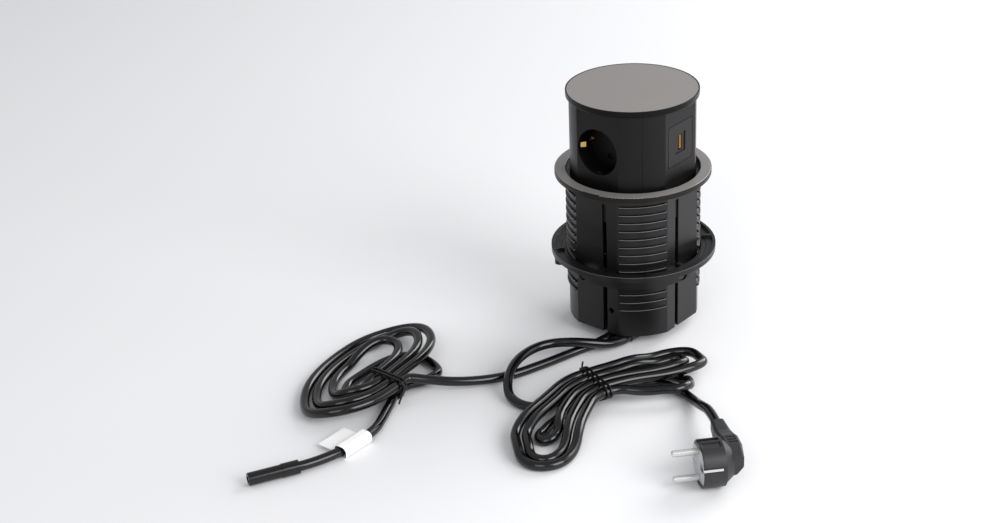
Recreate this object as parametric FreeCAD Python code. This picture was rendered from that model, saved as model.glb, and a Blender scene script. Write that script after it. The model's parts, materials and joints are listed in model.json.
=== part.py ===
import FreeCAD, Part
import math
import os

Vector = FreeCAD.Vector
Rotation = FreeCAD.Rotation
Placement = FreeCAD.Placement

# A pop-up socket tower for a worktop, drawn with its head raised and its two leads on the floor.
# Millimetres, +Z up, the origin on the floor under the tower's axis. Angles about the axis are
# counted from the front socket, which looks towards -Y, counter-clockwise from above.

# Heights of the tower
flange_top = 137.0            # top of the trim ring over the floor
head_travel = 67.0            # how far the head rises out of the worktop
lid_thickness = 5.0
sleeve_bottom = 9.0           # the sleeve ends above the floor, on the plinth of the base cover
head_engagement = 25.0        # length of head that stays in the sleeve when it is up

# Head, a round tube with four flats
head_radius = 50.4
flat_depth = 4.1              # how far the flats are cut in
head_wall = 2.2
head_base_thickness = 3.0
lid_overhang = 2.6            # beyond the head
lid_rim_width = 1.0
inlay_thickness = 1.2
seam_gap = 0.15               # joint line between the two halves of the head
seam_turn = -45.0             # the joint line lies on the corner between the front and the USB side
head_screw_inset = 4.8
head_screw_radius = 2.6
pad_length = 10.0             # felt pads, along the head and across it
pad_start = 6.0               # above the head's lower end

# Sleeve
head_clearance = 0.4          # head to sleeve, all round
sleeve_wall = 2.0
thread_pitch = 7.0
thread_depth = 1.7
thread_rib_height = 2.6       # along the axis, at the root
thread_top_room = 3.5         # from the last rib to the collar
thread_start = 33.0           # lowest rib at the centre of the first sector
thread_half_angle = 20.5
slot_width = 4.2
slot_angle = 35.5             # slot centre from the corner between two flats
slot_top_drop = 14.0          # top of the slots below the trim ring
lock_hole_radius = 2.5
lock_hole_angle = 15.9
lock_hole_height = 21.0       # over the sleeve's bottom edge

# Trim ring, seal and the seat under them
trim_width = 9.0              # from its bore to its edge
trim_thickness = 2.3
trim_lip = 1.7                # width of the turned-down edge
lid_gap = 1.0                 # lid to trim ring
sleeve_flange_thickness = 2.0
seal_thickness = 1.2
collar_step = 3.6             # from the sleeve out to the collar
collar_height = 2.2           # below the seal
flange_play = 0.1

# Lock nut and the guide ring that carries it
nut_rest_rib = 3              # whole pitches from the lowest rib up to the lugs at rest
nut_lug_drop = 12.0           # lugs below the top of the rim
nut_plate_width = 9.8         # from the hub to the rim's edge
nut_rim_width = 2.4
nut_rim_height = 3.0
nut_plate_thickness = 2.2
nut_hub_wall = 2.1
nut_hub_drop = 15.4           # bottom of the hub below the rim's top
nut_clearance = 0.6           # bore to the crest of the thread
nut_lug_height = 3.2
nut_lug_half_angle = 8.0
nut_lug_clearance = 0.45      # lug tip to the root of the thread
nut_rib_width = 2.6
nut_tab_reach = 1.6           # ribs reach in over the guide ring and keep it down
nut_rib_offset = 2.0          # first radial rib, from the corner
nut_notch_left = 8.5           # funnel above a slot: wider to the left of it
nut_notch_right = 4.5
nut_notch_height = 8.2
nut_notch_side = 5.5          # straight side of the funnel
nut_grip_radius = 4.4
nut_grip_angle = -35.5
nut_grip_drop = 7.0
guide_ring_gap = 0.9          # to the crest of the thread
guide_ring_width = 3.2
guide_ring_height = 2.0
ring_play = 0.3               # guide ring to the nut, all round
slot_play = 0.3               # key to slot, each side
head_key_depth = 1.2          # into the slot, from the head's flat
ring_key_clearance = 0.35     # ring key to head key
head_key_height = 15.7

# Base cover with its plinth and glands
base_thickness = 3.0
base_clearance = 0.3
plinth_radius = 37.0
plinth_wall = 2.0
plinth_floor = 1.0
plinth_front = 20.0           # axis to the flat front of the plinth
cable_hole_radius = 9.0
boss_radius = 3.6
boss_height = 14.0
boss_inset = 5.2              # from the sleeve's bore to the screws
base_screw_radius = 1.5
base_screw_head = 2.8

# Leads
cord_diameter = 7.5
cord_rest = 3.85              # height of a lead's axis where it lies on the floor
cord_layer = 8.15             # from one layer of turns to the next
gland_length = 20.0
gland_root_radius = 4.9
gland_tip_radius = 4.3
gland_neck_radius = 3.9       # where it passes through the plinth's wall
gland_height = 5.0
mains_gland_x = 24.0
output_gland_x = 11.0
clamp_y = -9.0                # cord clamp inside the base cover
clamp_screw_x = (4.6, 17.5)
clamp_end = 27.8
clamp_thickness = 1.6
clamp_screw_radius = 1.2
base_screw_length = 10.0
terminal_half = 15.0          # terminal block, half its length
terminal_depth = 14.0
terminal_near = 12.0          # axis of the tower to its near face
terminal_height = 11.0
terminal_spacing = 10.0

# Sockets
socket_drop = 39.4            # recess centre below the lid's top
recess_radius = 19.0
recess_depth = 17.5
cup_wall = 1.8
cup_floor = 2.0
pin_spacing = 19.0
pin_radius = 2.4
pin_hole_radius = 2.8
key_rib_width = 4.6
key_rib_depth = 1.6
shutter_thickness = 1.4
shutter_gap = 0.2
shutter_inner_radius = 4.2
shutter_outer_radius = 13.2
shutter_half_angle = 20.0
shutter_pivot_radius = 1.5
pivot_clearance = 0.05
earth_strip_width = 4.2
earth_strip_thickness = 0.8
earth_bump = 1.9              # how far a clip stands into the recess
block_half_width = 8.4
block_half_height = 16.0
block_flange = 2.0
contact_outer_radius = 3.3
contact_cover = 2.25          # block behind the contact tubes
contact_clearance = 0.15
block_rear = 8.8              # axis of the tower to the rear face of a contact block
block_flange_radius = 19.0
post_spread = 12.5            # screw posts of a contact block, both ways from its centre
post_radius = 2.6
screw_radius = 1.1
socket_faces = (("front", 0.0), ("left", -90.0), ("back", 180.0))

# Supply spiders in the middle of the head
spider_thickness = 1.0
spider_arm_width = 3.0
spider_hub_radius = 7.0
riser_circle = 4.6
riser_radius = 1.2

# USB charger
usb_drop = 35.8               # port's centre below the lid's top
usb_plate_width = 31.5
usb_plate_height = 33.5
usb_plate_thickness = 2.0
usb_plate_gap = 0.5
usb_corner_radius = 3.0
usb_bezel_width = 13.0
usb_bezel_height = 16.4
usb_bezel_depth = 0.7
usb_shell_width = 5.7
usb_shell_height = 13.3
usb_shell_wall = 0.35
usb_shell_length = 17.0
usb_tongue_width = 1.9
usb_tongue_height = 11.1
usb_tongue_setback = 0.5      # its front end behind the shell's mouth
board_thickness = 1.6
board_width = 28.0
board_height = 34.0
board_setback = 19.3          # from the flat to the board
tongue_offset = 0.2           # tongue beside the middle of the port

# Plug on the mains lead, in its own frame: its front face at x = 0, its body towards +x,
# its cord outlet towards +y
plug_radius = 17.5
plug_place = Vector(186.2, -176.2, plug_radius)
plug_turn = 48.4
plug_roll = -14.1             # the pins lean about the plug's axis, while its outlet lies level
plug_body_length = 17.0
plug_pin_length = 19.0
plug_pin_step = 0.3           # the full shank ends this far off the face, and a neck goes in
plug_neck_radius = 2.0
plug_neck_length = 3.4        # inside the body
plug_groove_width = 5.5
plug_groove_depth = 2.2
plug_notch_turn = 25.0        # moulded notch beside the guide groove, towards the strip
plug_strip_width = 1.8
plug_strip_length = 14.5
plug_strip_thickness = 0.9
plug_strip_slot = 3.2         # groove in which the strip stands
plug_fork_height = 5.8        # the strip's fork on the front face
plug_fork_length = 11.0
plug_fork_bar = 0.8
plug_metal_out = 0.2          # strips and forks stand this far out of the body
plug_rear_x = 26.0            # axis of the cord outlet behind the front face
plug_neck_back = 7.0          # tapered stretch behind the round body
plug_neck_end = 11.0          # its radius at the rear
plug_outlet_end = 48.0        # end of the outlet boot from the plug's axis
plug_rib_width = 1.6
plug_rib_pitch = 3.6

# Coupling on the output lead
coupling_length = 38.5
coupling_radius = 4.9
coupling_collar_radius = 5.3
coupling_collar_length = 13.0
coupling_socket_radius = 3.0
coupling_socket_depth = 9.0
coupling_pin_radius = 0.9
coupling_axis_height = 5.35
coupling_start = Vector(-54.6, -336.5, coupling_axis_height)
coupling_direction = Vector(-0.451, -0.892, 0.0)

# Hank of the mains lead: loops that all pass the tie side by side. The places are of the
# outermost loop: x, y, heading in degrees and lift over a lead that lies on the floor. The loops
# inside it keep their distance from it
hank_waist = Vector(55.5, -125.0, 0.0)
hank_waist_angle = 68.0       # heading of the leads that pass the tie northwards
hank_spacing = 8.4            # from one loop to the next
tie_room = 1.6                # lifts the bundle off the floor where the tie passes under it
hank_entry_lane = -4.1
hank_south_lanes = (16.3, 8.15, 0.0)
hank_north_lanes = (-16.3, -8.15, 4.1)
hank_first_turn = ((65.2, -85.5, 66.0, 0.0), (79.5, -69.5, 32.0, 0.0), (95.5, -67.5, -8.0, 0.0),
                   (107.5, -73.5, -45.0, 4.0), (112.0, -87.0, -100.0, 8.15), (98.0, -104.0, -132.0, 8.15))
hank_north_turn = ((51.5, -86.0, 70.0, 8.15), (64.5, -50.0, 66.0, 3.0), (88.5, -37.0, -22.0, 5.0),
                   (102.2, -53.0, -109.0, 8.15))
hank_north_inner = ((59.4, -88.9, 70.0, 8.15), (72.4, -57.0, 66.0, 3.0), (83.5, -49.5, -20.0, 5.0),
                    (89.8, -58.6, -111.0, 8.15))
hank_south_turn = ((77.0, -168.0, -66.0, 8.15), (94.3, -210.0, -82.0, 0.0), (76.5, -231.7, -180.0, 0.0),
                   (52.7, -217.8, -222.0, 3.0), (38.8, -182.0, -265.0, 8.15))
hank_south_inner = ((60.8, -175.0, -66.0, 8.15), (70.2, -193.5, -82.0, 2.0), (64.5, -202.0, -180.0, 0.0),
                    (57.3, -194.0, -268.0, 0.0), (55.5, -180.0, -268.0, 0.0))

# Coil of the output lead: turns that pass the tie side by side. Widths are to the west of the tie,
# reaches to its south and north, bulges to the east
coil_turns = 4
coil_steps = 8
coil_begin = 0.02
coil_tie_y = -216.0
coil_lanes = (-66.0, -74.2, -82.4, -90.6, -69.0)
coil_widths = (75.0, 58.2, 40.8, 31.0)
coil_south = (65.0, 52.5, 34.0, 24.0)
coil_north = (80.0, 69.0, 46.0, 52.0)
coil_bulges = (10.0, 7.0, 3.5, 20.0)
coil_rises = (0.66, 0.64, 0.5)  # share of a turn at which it starts to climb over the last turn
coil_lean = 0.18              # how far the turns lean west for each mm north of the tie
coil_exit = Vector(-61.5, -233.0, cord_rest)
coil_exit_angle = -63.0       # heading of the free end as it leaves

# Free stretches of the leads, laid on the floor from gland to hank or coil and on to the plug
# Where one ends in the hank, the coil, the plug or the coupling its last points follow from those
mains_run = [Vector(24.0, -40.0, 5.0), Vector(24.0, -57.0, 5.0), Vector(7.0, -80.5, 13.4)]
mains_run += [Vector(-14.0, -98.0, 13.4), Vector(-18.5, -123.0, 13.4), Vector(-11.0, -149.0, 13.0)]
mains_run += [Vector(1.5, -167.0, 5.0), Vector(16.5, -172.5, 3.9), Vector(31.0, -169.5, 3.9)]
mains_run += [Vector(38.8, -156.5, 4.2)]
mains_tail = [Vector(71.5, -92.0, 3.9), Vector(83.0, -82.0, 3.9), Vector(106.0, -82.5, 3.9)]
mains_tail += [Vector(126.0, -91.0, 5.0), Vector(139.0, -103.5, 13.0)]
output_run = [Vector(11.0, -40.0, 5.0), Vector(11.0, -58.0, 5.0), Vector(2.0, -84.0, 3.9)]
output_run += [Vector(-5.0, -112.0, 3.9), Vector(-16.0, -147.0, 3.9), Vector(-36.0, -180.0, 8.0)]
output_run += [Vector(-58.0, -200.0, 13.0)]
output_tail = [Vector(-46.0, -264.0, 4.3), Vector(-44.0, -282.0, 4.4), Vector(-44.4, -300.0, 4.6)]
output_tail += [Vector(-46.8, -315.5, 5.1)]
run_join = 12.0               # straight stretch of a free lead beside the hank
coil_join = 10.0
plug_join = 20.0
coupling_join = 8.0

# Wire ties and the tag
tie_thickness = 1.2
tie_play = 0.4
tie_lap = 1.8
tie_tail = 16.0
hank_corners = [(-16.3, 13.6), (16.3, 13.6), (4.1, 5.45), (-4.1, 5.45)]
hank_tail_at = Vector(37.0, -118.0, 17.0)
hank_tail_way = Vector(-0.5, 0.7, -0.2)
coil_corners = [(-13.8, 13.6), (12.3, 13.6), (-8.0, 5.45), (-9.8, 5.45)]
coil_tie_place = Vector(-78.3, -216.0, 0.0)
coil_tail_at = Vector(-59.8, -216.0, 13.6)
coil_tail_way = Vector(0.3, -0.8, -0.5)
tag_length = 28.0
tag_wrap_width = 12.0
tag_wrap_height = 9.6
tag_thickness = 0.3
tag_leaf = 17.0
tag_leaf_height = 3.0
tag_place = Vector(-44.4, -290.0, 0.0)
tag_turn = 1.0
# Sections of the plug's grip from its near end to the boot: place along the outlet, top, rear,
# step, rear at the bottom, bottom, front and corner radius
plug_sections = [(-10.0, 9.0, 30.5, 0.0, 25.5, -6.0, 18.0, 1.2),
                 (1.0, 13.5, 31.8, -2.0, 27.0, -11.0, 18.0, 2.5),
                 (13.0, 12.5, 32.0, -3.5, 28.0, -11.0, 18.5, 2.5),
                 (21.0, 9.5, 31.8, -3.5, 28.5, -9.0, 18.8, 2.5),
                 (31.0, 6.6, 31.6, -3.0, 29.0, -6.6, 19.2, 2.5),
                 (48.0, 4.9, 31.0, -2.0, 28.6, -4.9, 21.0, 2.0)]
slack_radius = 36.0
slack_turns = 2
riser_passes = (150.0, 270.0)
gap_step = 2.0

# Heights that follow from the ones above
lid_top = flange_top + head_travel
head_top = lid_top - lid_thickness
head_length = head_travel + head_engagement
head_flat = head_radius - flat_depth
head_screw_circle = head_radius - head_screw_inset
board_face = head_flat - board_setback
usb_tongue_length = usb_shell_length - usb_shell_wall - usb_tongue_setback
head_bottom = head_top - head_length
lid_radius = head_radius + lid_overhang
socket_height = lid_top - socket_drop
usb_height = lid_top - usb_drop
sleeve_radius = head_radius + head_clearance + sleeve_wall
sleeve_flat = head_flat + head_clearance + sleeve_wall
thread_crest = sleeve_radius + thread_depth
bore_radius = head_radius + head_clearance
boss_circle = bore_radius - boss_inset
bore_flat = head_flat + head_clearance
trim_inner_radius = lid_radius + lid_gap
trim_radius = trim_inner_radius + trim_width
collar_radius = sleeve_radius + collar_step
trim_bottom = flange_top - trim_thickness
sleeve_flange_top = trim_bottom - flange_play
sleeve_flange_bottom = sleeve_flange_top - sleeve_flange_thickness
seal_bottom = sleeve_flange_bottom - seal_thickness
collar_bottom = seal_bottom - collar_height
lid_seat = flange_top - lid_thickness - head_clearance
slot_top = flange_top - slot_top_drop
key_width = slot_width - 2 * slot_play
thread_rib_count = int((collar_bottom - thread_top_room - thread_start) / thread_pitch) + 1
nut_lug_level = thread_start + (nut_rest_rib + 0.5) * thread_pitch
nut_height = nut_lug_level + nut_lug_drop
nut_inner_radius = thread_crest + nut_clearance
nut_hub_radius = nut_inner_radius + nut_hub_wall
nut_radius = nut_hub_radius + nut_plate_width
guide_ring_inner = thread_crest + guide_ring_gap
guide_ring_outer = guide_ring_inner + guide_ring_width
slot_angles = [corner + side * slot_angle for corner in (45.0, 225.0) for side in (-1, 1)]
corner_angles = [45.0, 135.0, 225.0, 315.0]
recess_floor = head_flat - recess_depth
cup_back = recess_floor - cup_floor
shutter_front = cup_back - shutter_gap
shutter_back = shutter_front - shutter_thickness
strip_front = shutter_back - shutter_gap
block_front = strip_front - earth_strip_thickness
contact_front = block_front - contact_clearance
contact_rear = block_rear + contact_cover
contact_length = contact_front - contact_rear
base_top = sleeve_bottom + base_thickness
post_places = [(x, high) for x in (-post_spread, post_spread) for high in (-post_spread, post_spread)]
riser_tops = (socket_height - pin_spacing / 2, socket_height, socket_height + pin_spacing / 2)
clamp_top = gland_height + cord_diameter / 2 + clamp_thickness
nut_notch_angle = slot_angle + 45.0
head_key_face = head_flat + head_key_depth
ring_key_face = head_key_face + ring_key_clearance


def save(shape, node):
    """Writes one sub-part under its node's name."""
    shape.exportStep("parts/" + node + ".step")


def cylinder(radius, low, high):
    return Part.makeCylinder(radius, high - low, Vector(0, 0, low))


def ring(inner, outer, low, high):
    return cylinder(outer, low, high).cut(cylinder(inner, low - 1, high + 1))


def box(low, high):
    return Part.makeBox(high[0] - low[0], high[1] - low[1], high[2] - low[2], Vector(*low))


def turned(shape, angle):
    """A copy turned about the tower's axis: what looks towards -Y then looks along the angle."""
    copy = shape.copy()
    copy.rotate(Vector(0, 0, 0), Vector(0, 0, 1), angle)
    return copy


def flatted(radius, flat, low, high):
    """A round bar with four flats."""
    return cylinder(radius, low, high).common(box((-flat, -flat, low), (flat, flat, high)))


def along_y(radius, near, far, x, z):
    """A round bar along Y, from near to far in front of the axis."""
    return Part.makeCylinder(radius, near - far, Vector(x, -near, z), Vector(0, 1, 0))


def fused(shapes):
    return shapes[0].multiFuse(shapes[1:]).removeSplitter()


def group(shapes):
    return Part.makeCompound(shapes)


def thread_rib():
    """One rib of the thread, centred on -Y at height 0."""
    root = sleeve_radius - 0.4
    half = thread_rib_height / 2
    tip = half * 0.45
    corners = [Vector(root, 0, -half), Vector(thread_crest, 0, -tip)]
    corners += [Vector(thread_crest, 0, tip), Vector(root, 0, half)]
    section = Part.Face(Part.makePolygon(corners + corners[:1]))
    rib = section.revolve(Vector(0, 0, 0), Vector(0, 0, 1), 2 * thread_half_angle)
    rib.rotate(Vector(0, 0, 0), Vector(0, 0, 1), -90 - thread_half_angle)
    helix_angle = math.degrees(math.atan(thread_pitch / (2 * math.pi * sleeve_radius)))
    rib.rotate(Vector(0, 0, 0), Vector(0, 1, 0), -helix_angle)
    return rib


def make_sleeve():
    """Threaded sleeve: four round sectors with ribs, four flats, guide slots, a collar and a flange."""
    tube = flatted(sleeve_radius, sleeve_flat, sleeve_bottom, sleeve_flange_bottom)
    collar = cylinder(collar_radius, collar_bottom, sleeve_flange_bottom)
    flange = cylinder(trim_radius - trim_lip - flange_play, sleeve_flange_bottom, sleeve_flange_top)
    body = fused([tube, collar, flange])
    ribs = []
    for corner in corner_angles:
        for turn in range(thread_rib_count):
            rib = turned(thread_rib(), corner)
            height = thread_start + thread_pitch * (turn + (corner - corner_angles[0]) / 360.0)
            rib.translate(Vector(0, 0, height))
            ribs.append(rib)
    body = body.multiFuse(ribs)
    body = body.cut(flatted(bore_radius, bore_flat, sleeve_bottom - 1, sleeve_flange_top + 1))
    body = body.cut(cylinder(trim_inner_radius, lid_seat, sleeve_flange_top + 1))
    half = slot_width / 2
    slot = box((-half, -sleeve_flat - 1, sleeve_bottom - 1), (half, -bore_flat + 6, slot_top))
    for angle in slot_angles:
        face = 90.0 * round(angle / 90.0)
        offset = bore_flat * math.tan(math.radians(angle - face))
        body = body.cut(turned(slot.translated(Vector(offset, 0, 0)), face))
    hole_offset = sleeve_flat * math.tan(math.radians(lock_hole_angle))
    level = sleeve_bottom + lock_hole_height
    hole = along_y(lock_hole_radius, sleeve_flat + 1, bore_flat - 1, hole_offset, level)
    for face in (0.0, 180.0):
        body = body.cut(turned(hole, face))
    for corner in corner_angles:
        boss = Part.makeCylinder(boss_radius, boss_height, Vector(0, -boss_circle, base_top))
        boss_top = base_top + boss_height
        web = box((-boss_radius, -bore_radius - 0.5, base_top), (boss_radius, -boss_circle, boss_top))
        inner = boss.fuse(web).common(cylinder(bore_radius + 0.5, base_top, base_top + boss_height))
        pilot = Part.makeCylinder(base_screw_radius, boss_height - 2, Vector(0, -boss_circle, base_top))
        body = body.fuse(turned(inner, corner)).cut(turned(pilot, corner))
    return body


def make_trim_ring():
    """Metal-coloured ring round the lid, with a lip turned down over the sleeve's flange."""
    plate = ring(trim_inner_radius, trim_radius, trim_bottom, flange_top)
    lip = ring(trim_radius - trim_lip, trim_radius, sleeve_flange_bottom + 0.3, trim_bottom)
    body = plate.fuse(lip).removeSplitter()
    edges = []
    for edge in body.Edges:
        centre = edge.BoundBox.Center
        if abs(edge.BoundBox.ZMin - flange_top) < 0.01 and abs(centre.z - flange_top) < 0.01:
            edges.append(edge)
    return body.makeFillet(trim_thickness * 0.35, edges)


def make_seal():
    return ring(collar_radius + flange_play, trim_radius - trim_lip - 0.3, seal_bottom, sleeve_flange_bottom)


def make_base_cover():
    """Plate in the sleeve's bottom with a hollow plinth below, flat in front where the leads come out."""
    plate = flatted(bore_radius - base_clearance, bore_flat - base_clearance, sleeve_bottom, base_top)
    front = box((-plinth_radius, -plinth_front, 0), (plinth_radius, plinth_radius, sleeve_bottom))
    plinth = cylinder(plinth_radius, 0, sleeve_bottom).common(front)
    inner = cylinder(plinth_radius - plinth_wall, plinth_floor, sleeve_bottom)
    inner_front = -plinth_front + plinth_wall
    inner_box = box((-plinth_radius, inner_front, 0), (plinth_radius, plinth_radius, sleeve_bottom))
    body = plate.fuse(plinth).removeSplitter()
    body = body.cut(inner.common(inner_box))
    body = body.cut(cylinder(cable_hole_radius, sleeve_bottom - 1, base_top + 1))
    for x in (mains_gland_x, output_gland_x):
        behind = plinth_front - plinth_wall - 1
        body = body.cut(along_y(gland_neck_radius, plinth_front + 1, behind, x, gland_height))
        body = body.cut(along_y(gland_root_radius + 0.3, bore_flat + 1, plinth_front, x, gland_height))
    pocket_low = (clamp_screw_x[0] - 3.2, clamp_y - 4.0, sleeve_bottom - 0.5)
    body = body.cut(box(pocket_low, (clamp_end + 0.4, clamp_y + 4.0, clamp_top + 0.2)))
    for corner in corner_angles:
        place = Vector(0, -boss_circle, sleeve_bottom - 1)
        hole = Part.makeCylinder(base_screw_radius + 0.2, base_thickness + 2, place)
        body = body.cut(turned(hole, corner))
    return body


def make_housing_screws():
    """Four screws through the base cover into the sleeve's bosses, and two in the cord clamp."""
    screws = []
    for corner in corner_angles:
        place = Vector(0, -boss_circle, sleeve_bottom)
        shank = Part.makeCylinder(base_screw_radius - 0.05, base_screw_length, place)
        head = Part.makeCylinder(base_screw_head, 1.8, Vector(0, -boss_circle, sleeve_bottom - 1.8))
        screws.append(turned(shank.fuse(head).removeSplitter(), corner))
    for x in clamp_screw_x:
        place = Vector(x, clamp_y, plinth_floor)
        screws.append(Part.makeCylinder(clamp_screw_radius, clamp_top - plinth_floor, place))
    return group(screws)


def make_gland(x):
    """Tapered strain relief on the front of the plinth."""
    place = Vector(x, -plinth_front, gland_height)
    gland = Part.makeCone(gland_root_radius, gland_tip_radius, gland_length, place, Vector(0, -1, 0))
    neck = along_y(gland_neck_radius, plinth_front, plinth_front - plinth_wall - 1.5, x, gland_height)
    body = gland.fuse(neck)
    groove_step = gland_length / 5.0
    for step in range(1, 4):
        y = plinth_front + groove_step * step
        groove = ring(gland_tip_radius - 0.35, gland_root_radius + 1, -0.6, 0.6)
        groove.rotate(Vector(0, 0, 0), Vector(1, 0, 0), 90)
        groove.translate(Vector(x, -y, gland_height))
        body = body.cut(groove)
    return body


def make_cord_clamp():
    """Bar across both leads inside the plinth."""
    under = gland_height + cord_diameter / 2
    over = under + clamp_thickness
    bar = box((clamp_screw_x[0] - 2.8, clamp_y - 3.5, under), (clamp_end, clamp_y + 3.5, over))
    for x in clamp_screw_x:
        bar = bar.cut(Part.makeCylinder(1.25, 10, Vector(x, clamp_y, 1)))
    return bar


def make_terminal_block():
    """Three-way terminal block on the base plate, where the leads meet the slack lead."""
    far = terminal_near + terminal_depth
    top = base_top + terminal_height
    block = box((-terminal_half, terminal_near, base_top), (terminal_half, far, top))
    for x in (-terminal_spacing, 0, terminal_spacing):
        middle = terminal_near + terminal_depth / 2
        block = block.cut(Part.makeCylinder(2.2, 5, Vector(x, middle, top - 4)))
        block = block.cut(along_y(1.8, 1 - terminal_near, -1 - far, x, base_top + 4))
    return block


def make_lid_rim():
    """Black lid body with a raised edge round the inlay and a spigot into the head."""
    disc = cylinder(lid_radius, head_top, lid_top)
    rounded = [e for e in disc.Edges if abs(e.BoundBox.ZMax - head_top) < 0.01 and e.BoundBox.ZLength < 0.01]
    disc = disc.makeFillet(1.2, rounded)
    spigot = flatted(head_radius - head_wall - 0.2, head_flat - head_wall - 0.2, head_top - 4, head_top)
    spigot = spigot.cut(cylinder(head_flat - head_wall - 3, head_top - 5, head_top))
    body = disc.fuse(spigot).removeSplitter()
    return body.cut(cylinder(lid_radius - lid_rim_width, lid_top - inlay_thickness, lid_top + 1))


def make_lid_inlay():
    return cylinder(lid_radius - lid_rim_width - 0.1, lid_top - inlay_thickness, lid_top - 0.1)


def socket_hole():
    """Cuts a front socket's opening in the head."""
    return along_y(recess_radius, head_flat + 1, head_flat - head_wall - 1, 0, socket_height)


def usb_window(extra, near, far):
    """Block of the USB plate's outline with two rounded corners, looking towards -Y."""
    half = usb_plate_width / 2 + extra
    high = usb_plate_height / 2 + extra
    block = box((-half, -near, usb_height - high), (half, -far, usb_height + high))
    rounded = []
    for edge in block.Edges:
        centre = edge.BoundBox.Center
        across = centre.x * (centre.z - usb_height) < -half * high * 0.9
        if edge.BoundBox.YLength > abs(near - far) - 0.01 and across:
            rounded.append(edge)
    return block.makeFillet(usb_corner_radius, rounded)


def make_head_shell():
    """Both halves of the head's shell, parted on the corner between two flats."""
    low = head_bottom + head_base_thickness
    shell = flatted(head_radius, head_flat, low, head_top)
    shell = shell.cut(flatted(head_radius - head_wall, head_flat - head_wall, low - 1, head_top + 1))
    for _, angle in socket_faces:
        shell = shell.cut(turned(socket_hole(), angle))
    window = usb_window(usb_plate_gap, head_flat + 1, head_flat - head_wall - 1)
    shell = shell.cut(turned(window, 90.0))
    halves = []
    for side in (0, 180):
        keep = box((-lid_radius, seam_gap / 2, low - 1), (lid_radius, lid_radius, head_top + 1))
        keep.rotate(Vector(0, 0, 0), Vector(0, 0, 1), seam_turn + side)
        halves.append(shell.common(keep))
    return halves


def make_head_base():
    """Plate that closes the head below, with a sleeve for the slack lead."""
    top = head_bottom + head_base_thickness
    plate = flatted(head_radius, head_flat, head_bottom, top)
    rim = flatted(head_radius - head_wall - 0.2, head_flat - head_wall - 0.2, top, top + 5)
    rim = rim.cut(cylinder(head_flat - head_wall - 3, top, top + 6))
    plate = plate.fuse([rim, cylinder(cable_hole_radius, top, top + 6)])
    return plate.removeSplitter().cut(cylinder(cord_diameter / 2 + 0.1, head_bottom - 1, top + 7))


def make_guide_keys():
    """Keys on the head's foot that run in the sleeve's slots and stop at their top."""
    keys = []
    half = key_width / 2
    for angle in slot_angles:
        face = 90.0 * round(angle / 90.0)
        offset = bore_flat * math.tan(math.radians(angle - face))
        top = head_bottom + head_key_height
        key = box((offset - half, -head_key_face, head_bottom), (offset + half, -head_flat, top))
        keys.append(turned(key, face))
    return group(keys)


def make_friction_pads():
    """Felt pads on the head's corners that hold it at any height."""
    pads = []
    low = head_bottom + pad_start
    for corner in corner_angles:
        pad = ring(head_radius, bore_radius - 0.02, low, low + pad_length)
        keep = box((-pad_length / 2, -bore_radius, low), (pad_length / 2, 0, low + pad_length))
        pads.append(turned(pad.common(keep), corner))
    return group(pads)


def make_head_screws():
    """Screws from below through the base plate's rim."""
    screws = []
    for corner in corner_angles:
        head = Part.makeCylinder(head_screw_radius, 1.6, Vector(0, -head_screw_circle, head_bottom - 1.6))
        screws.append(turned(head, corner))
    return group(screws)


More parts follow.
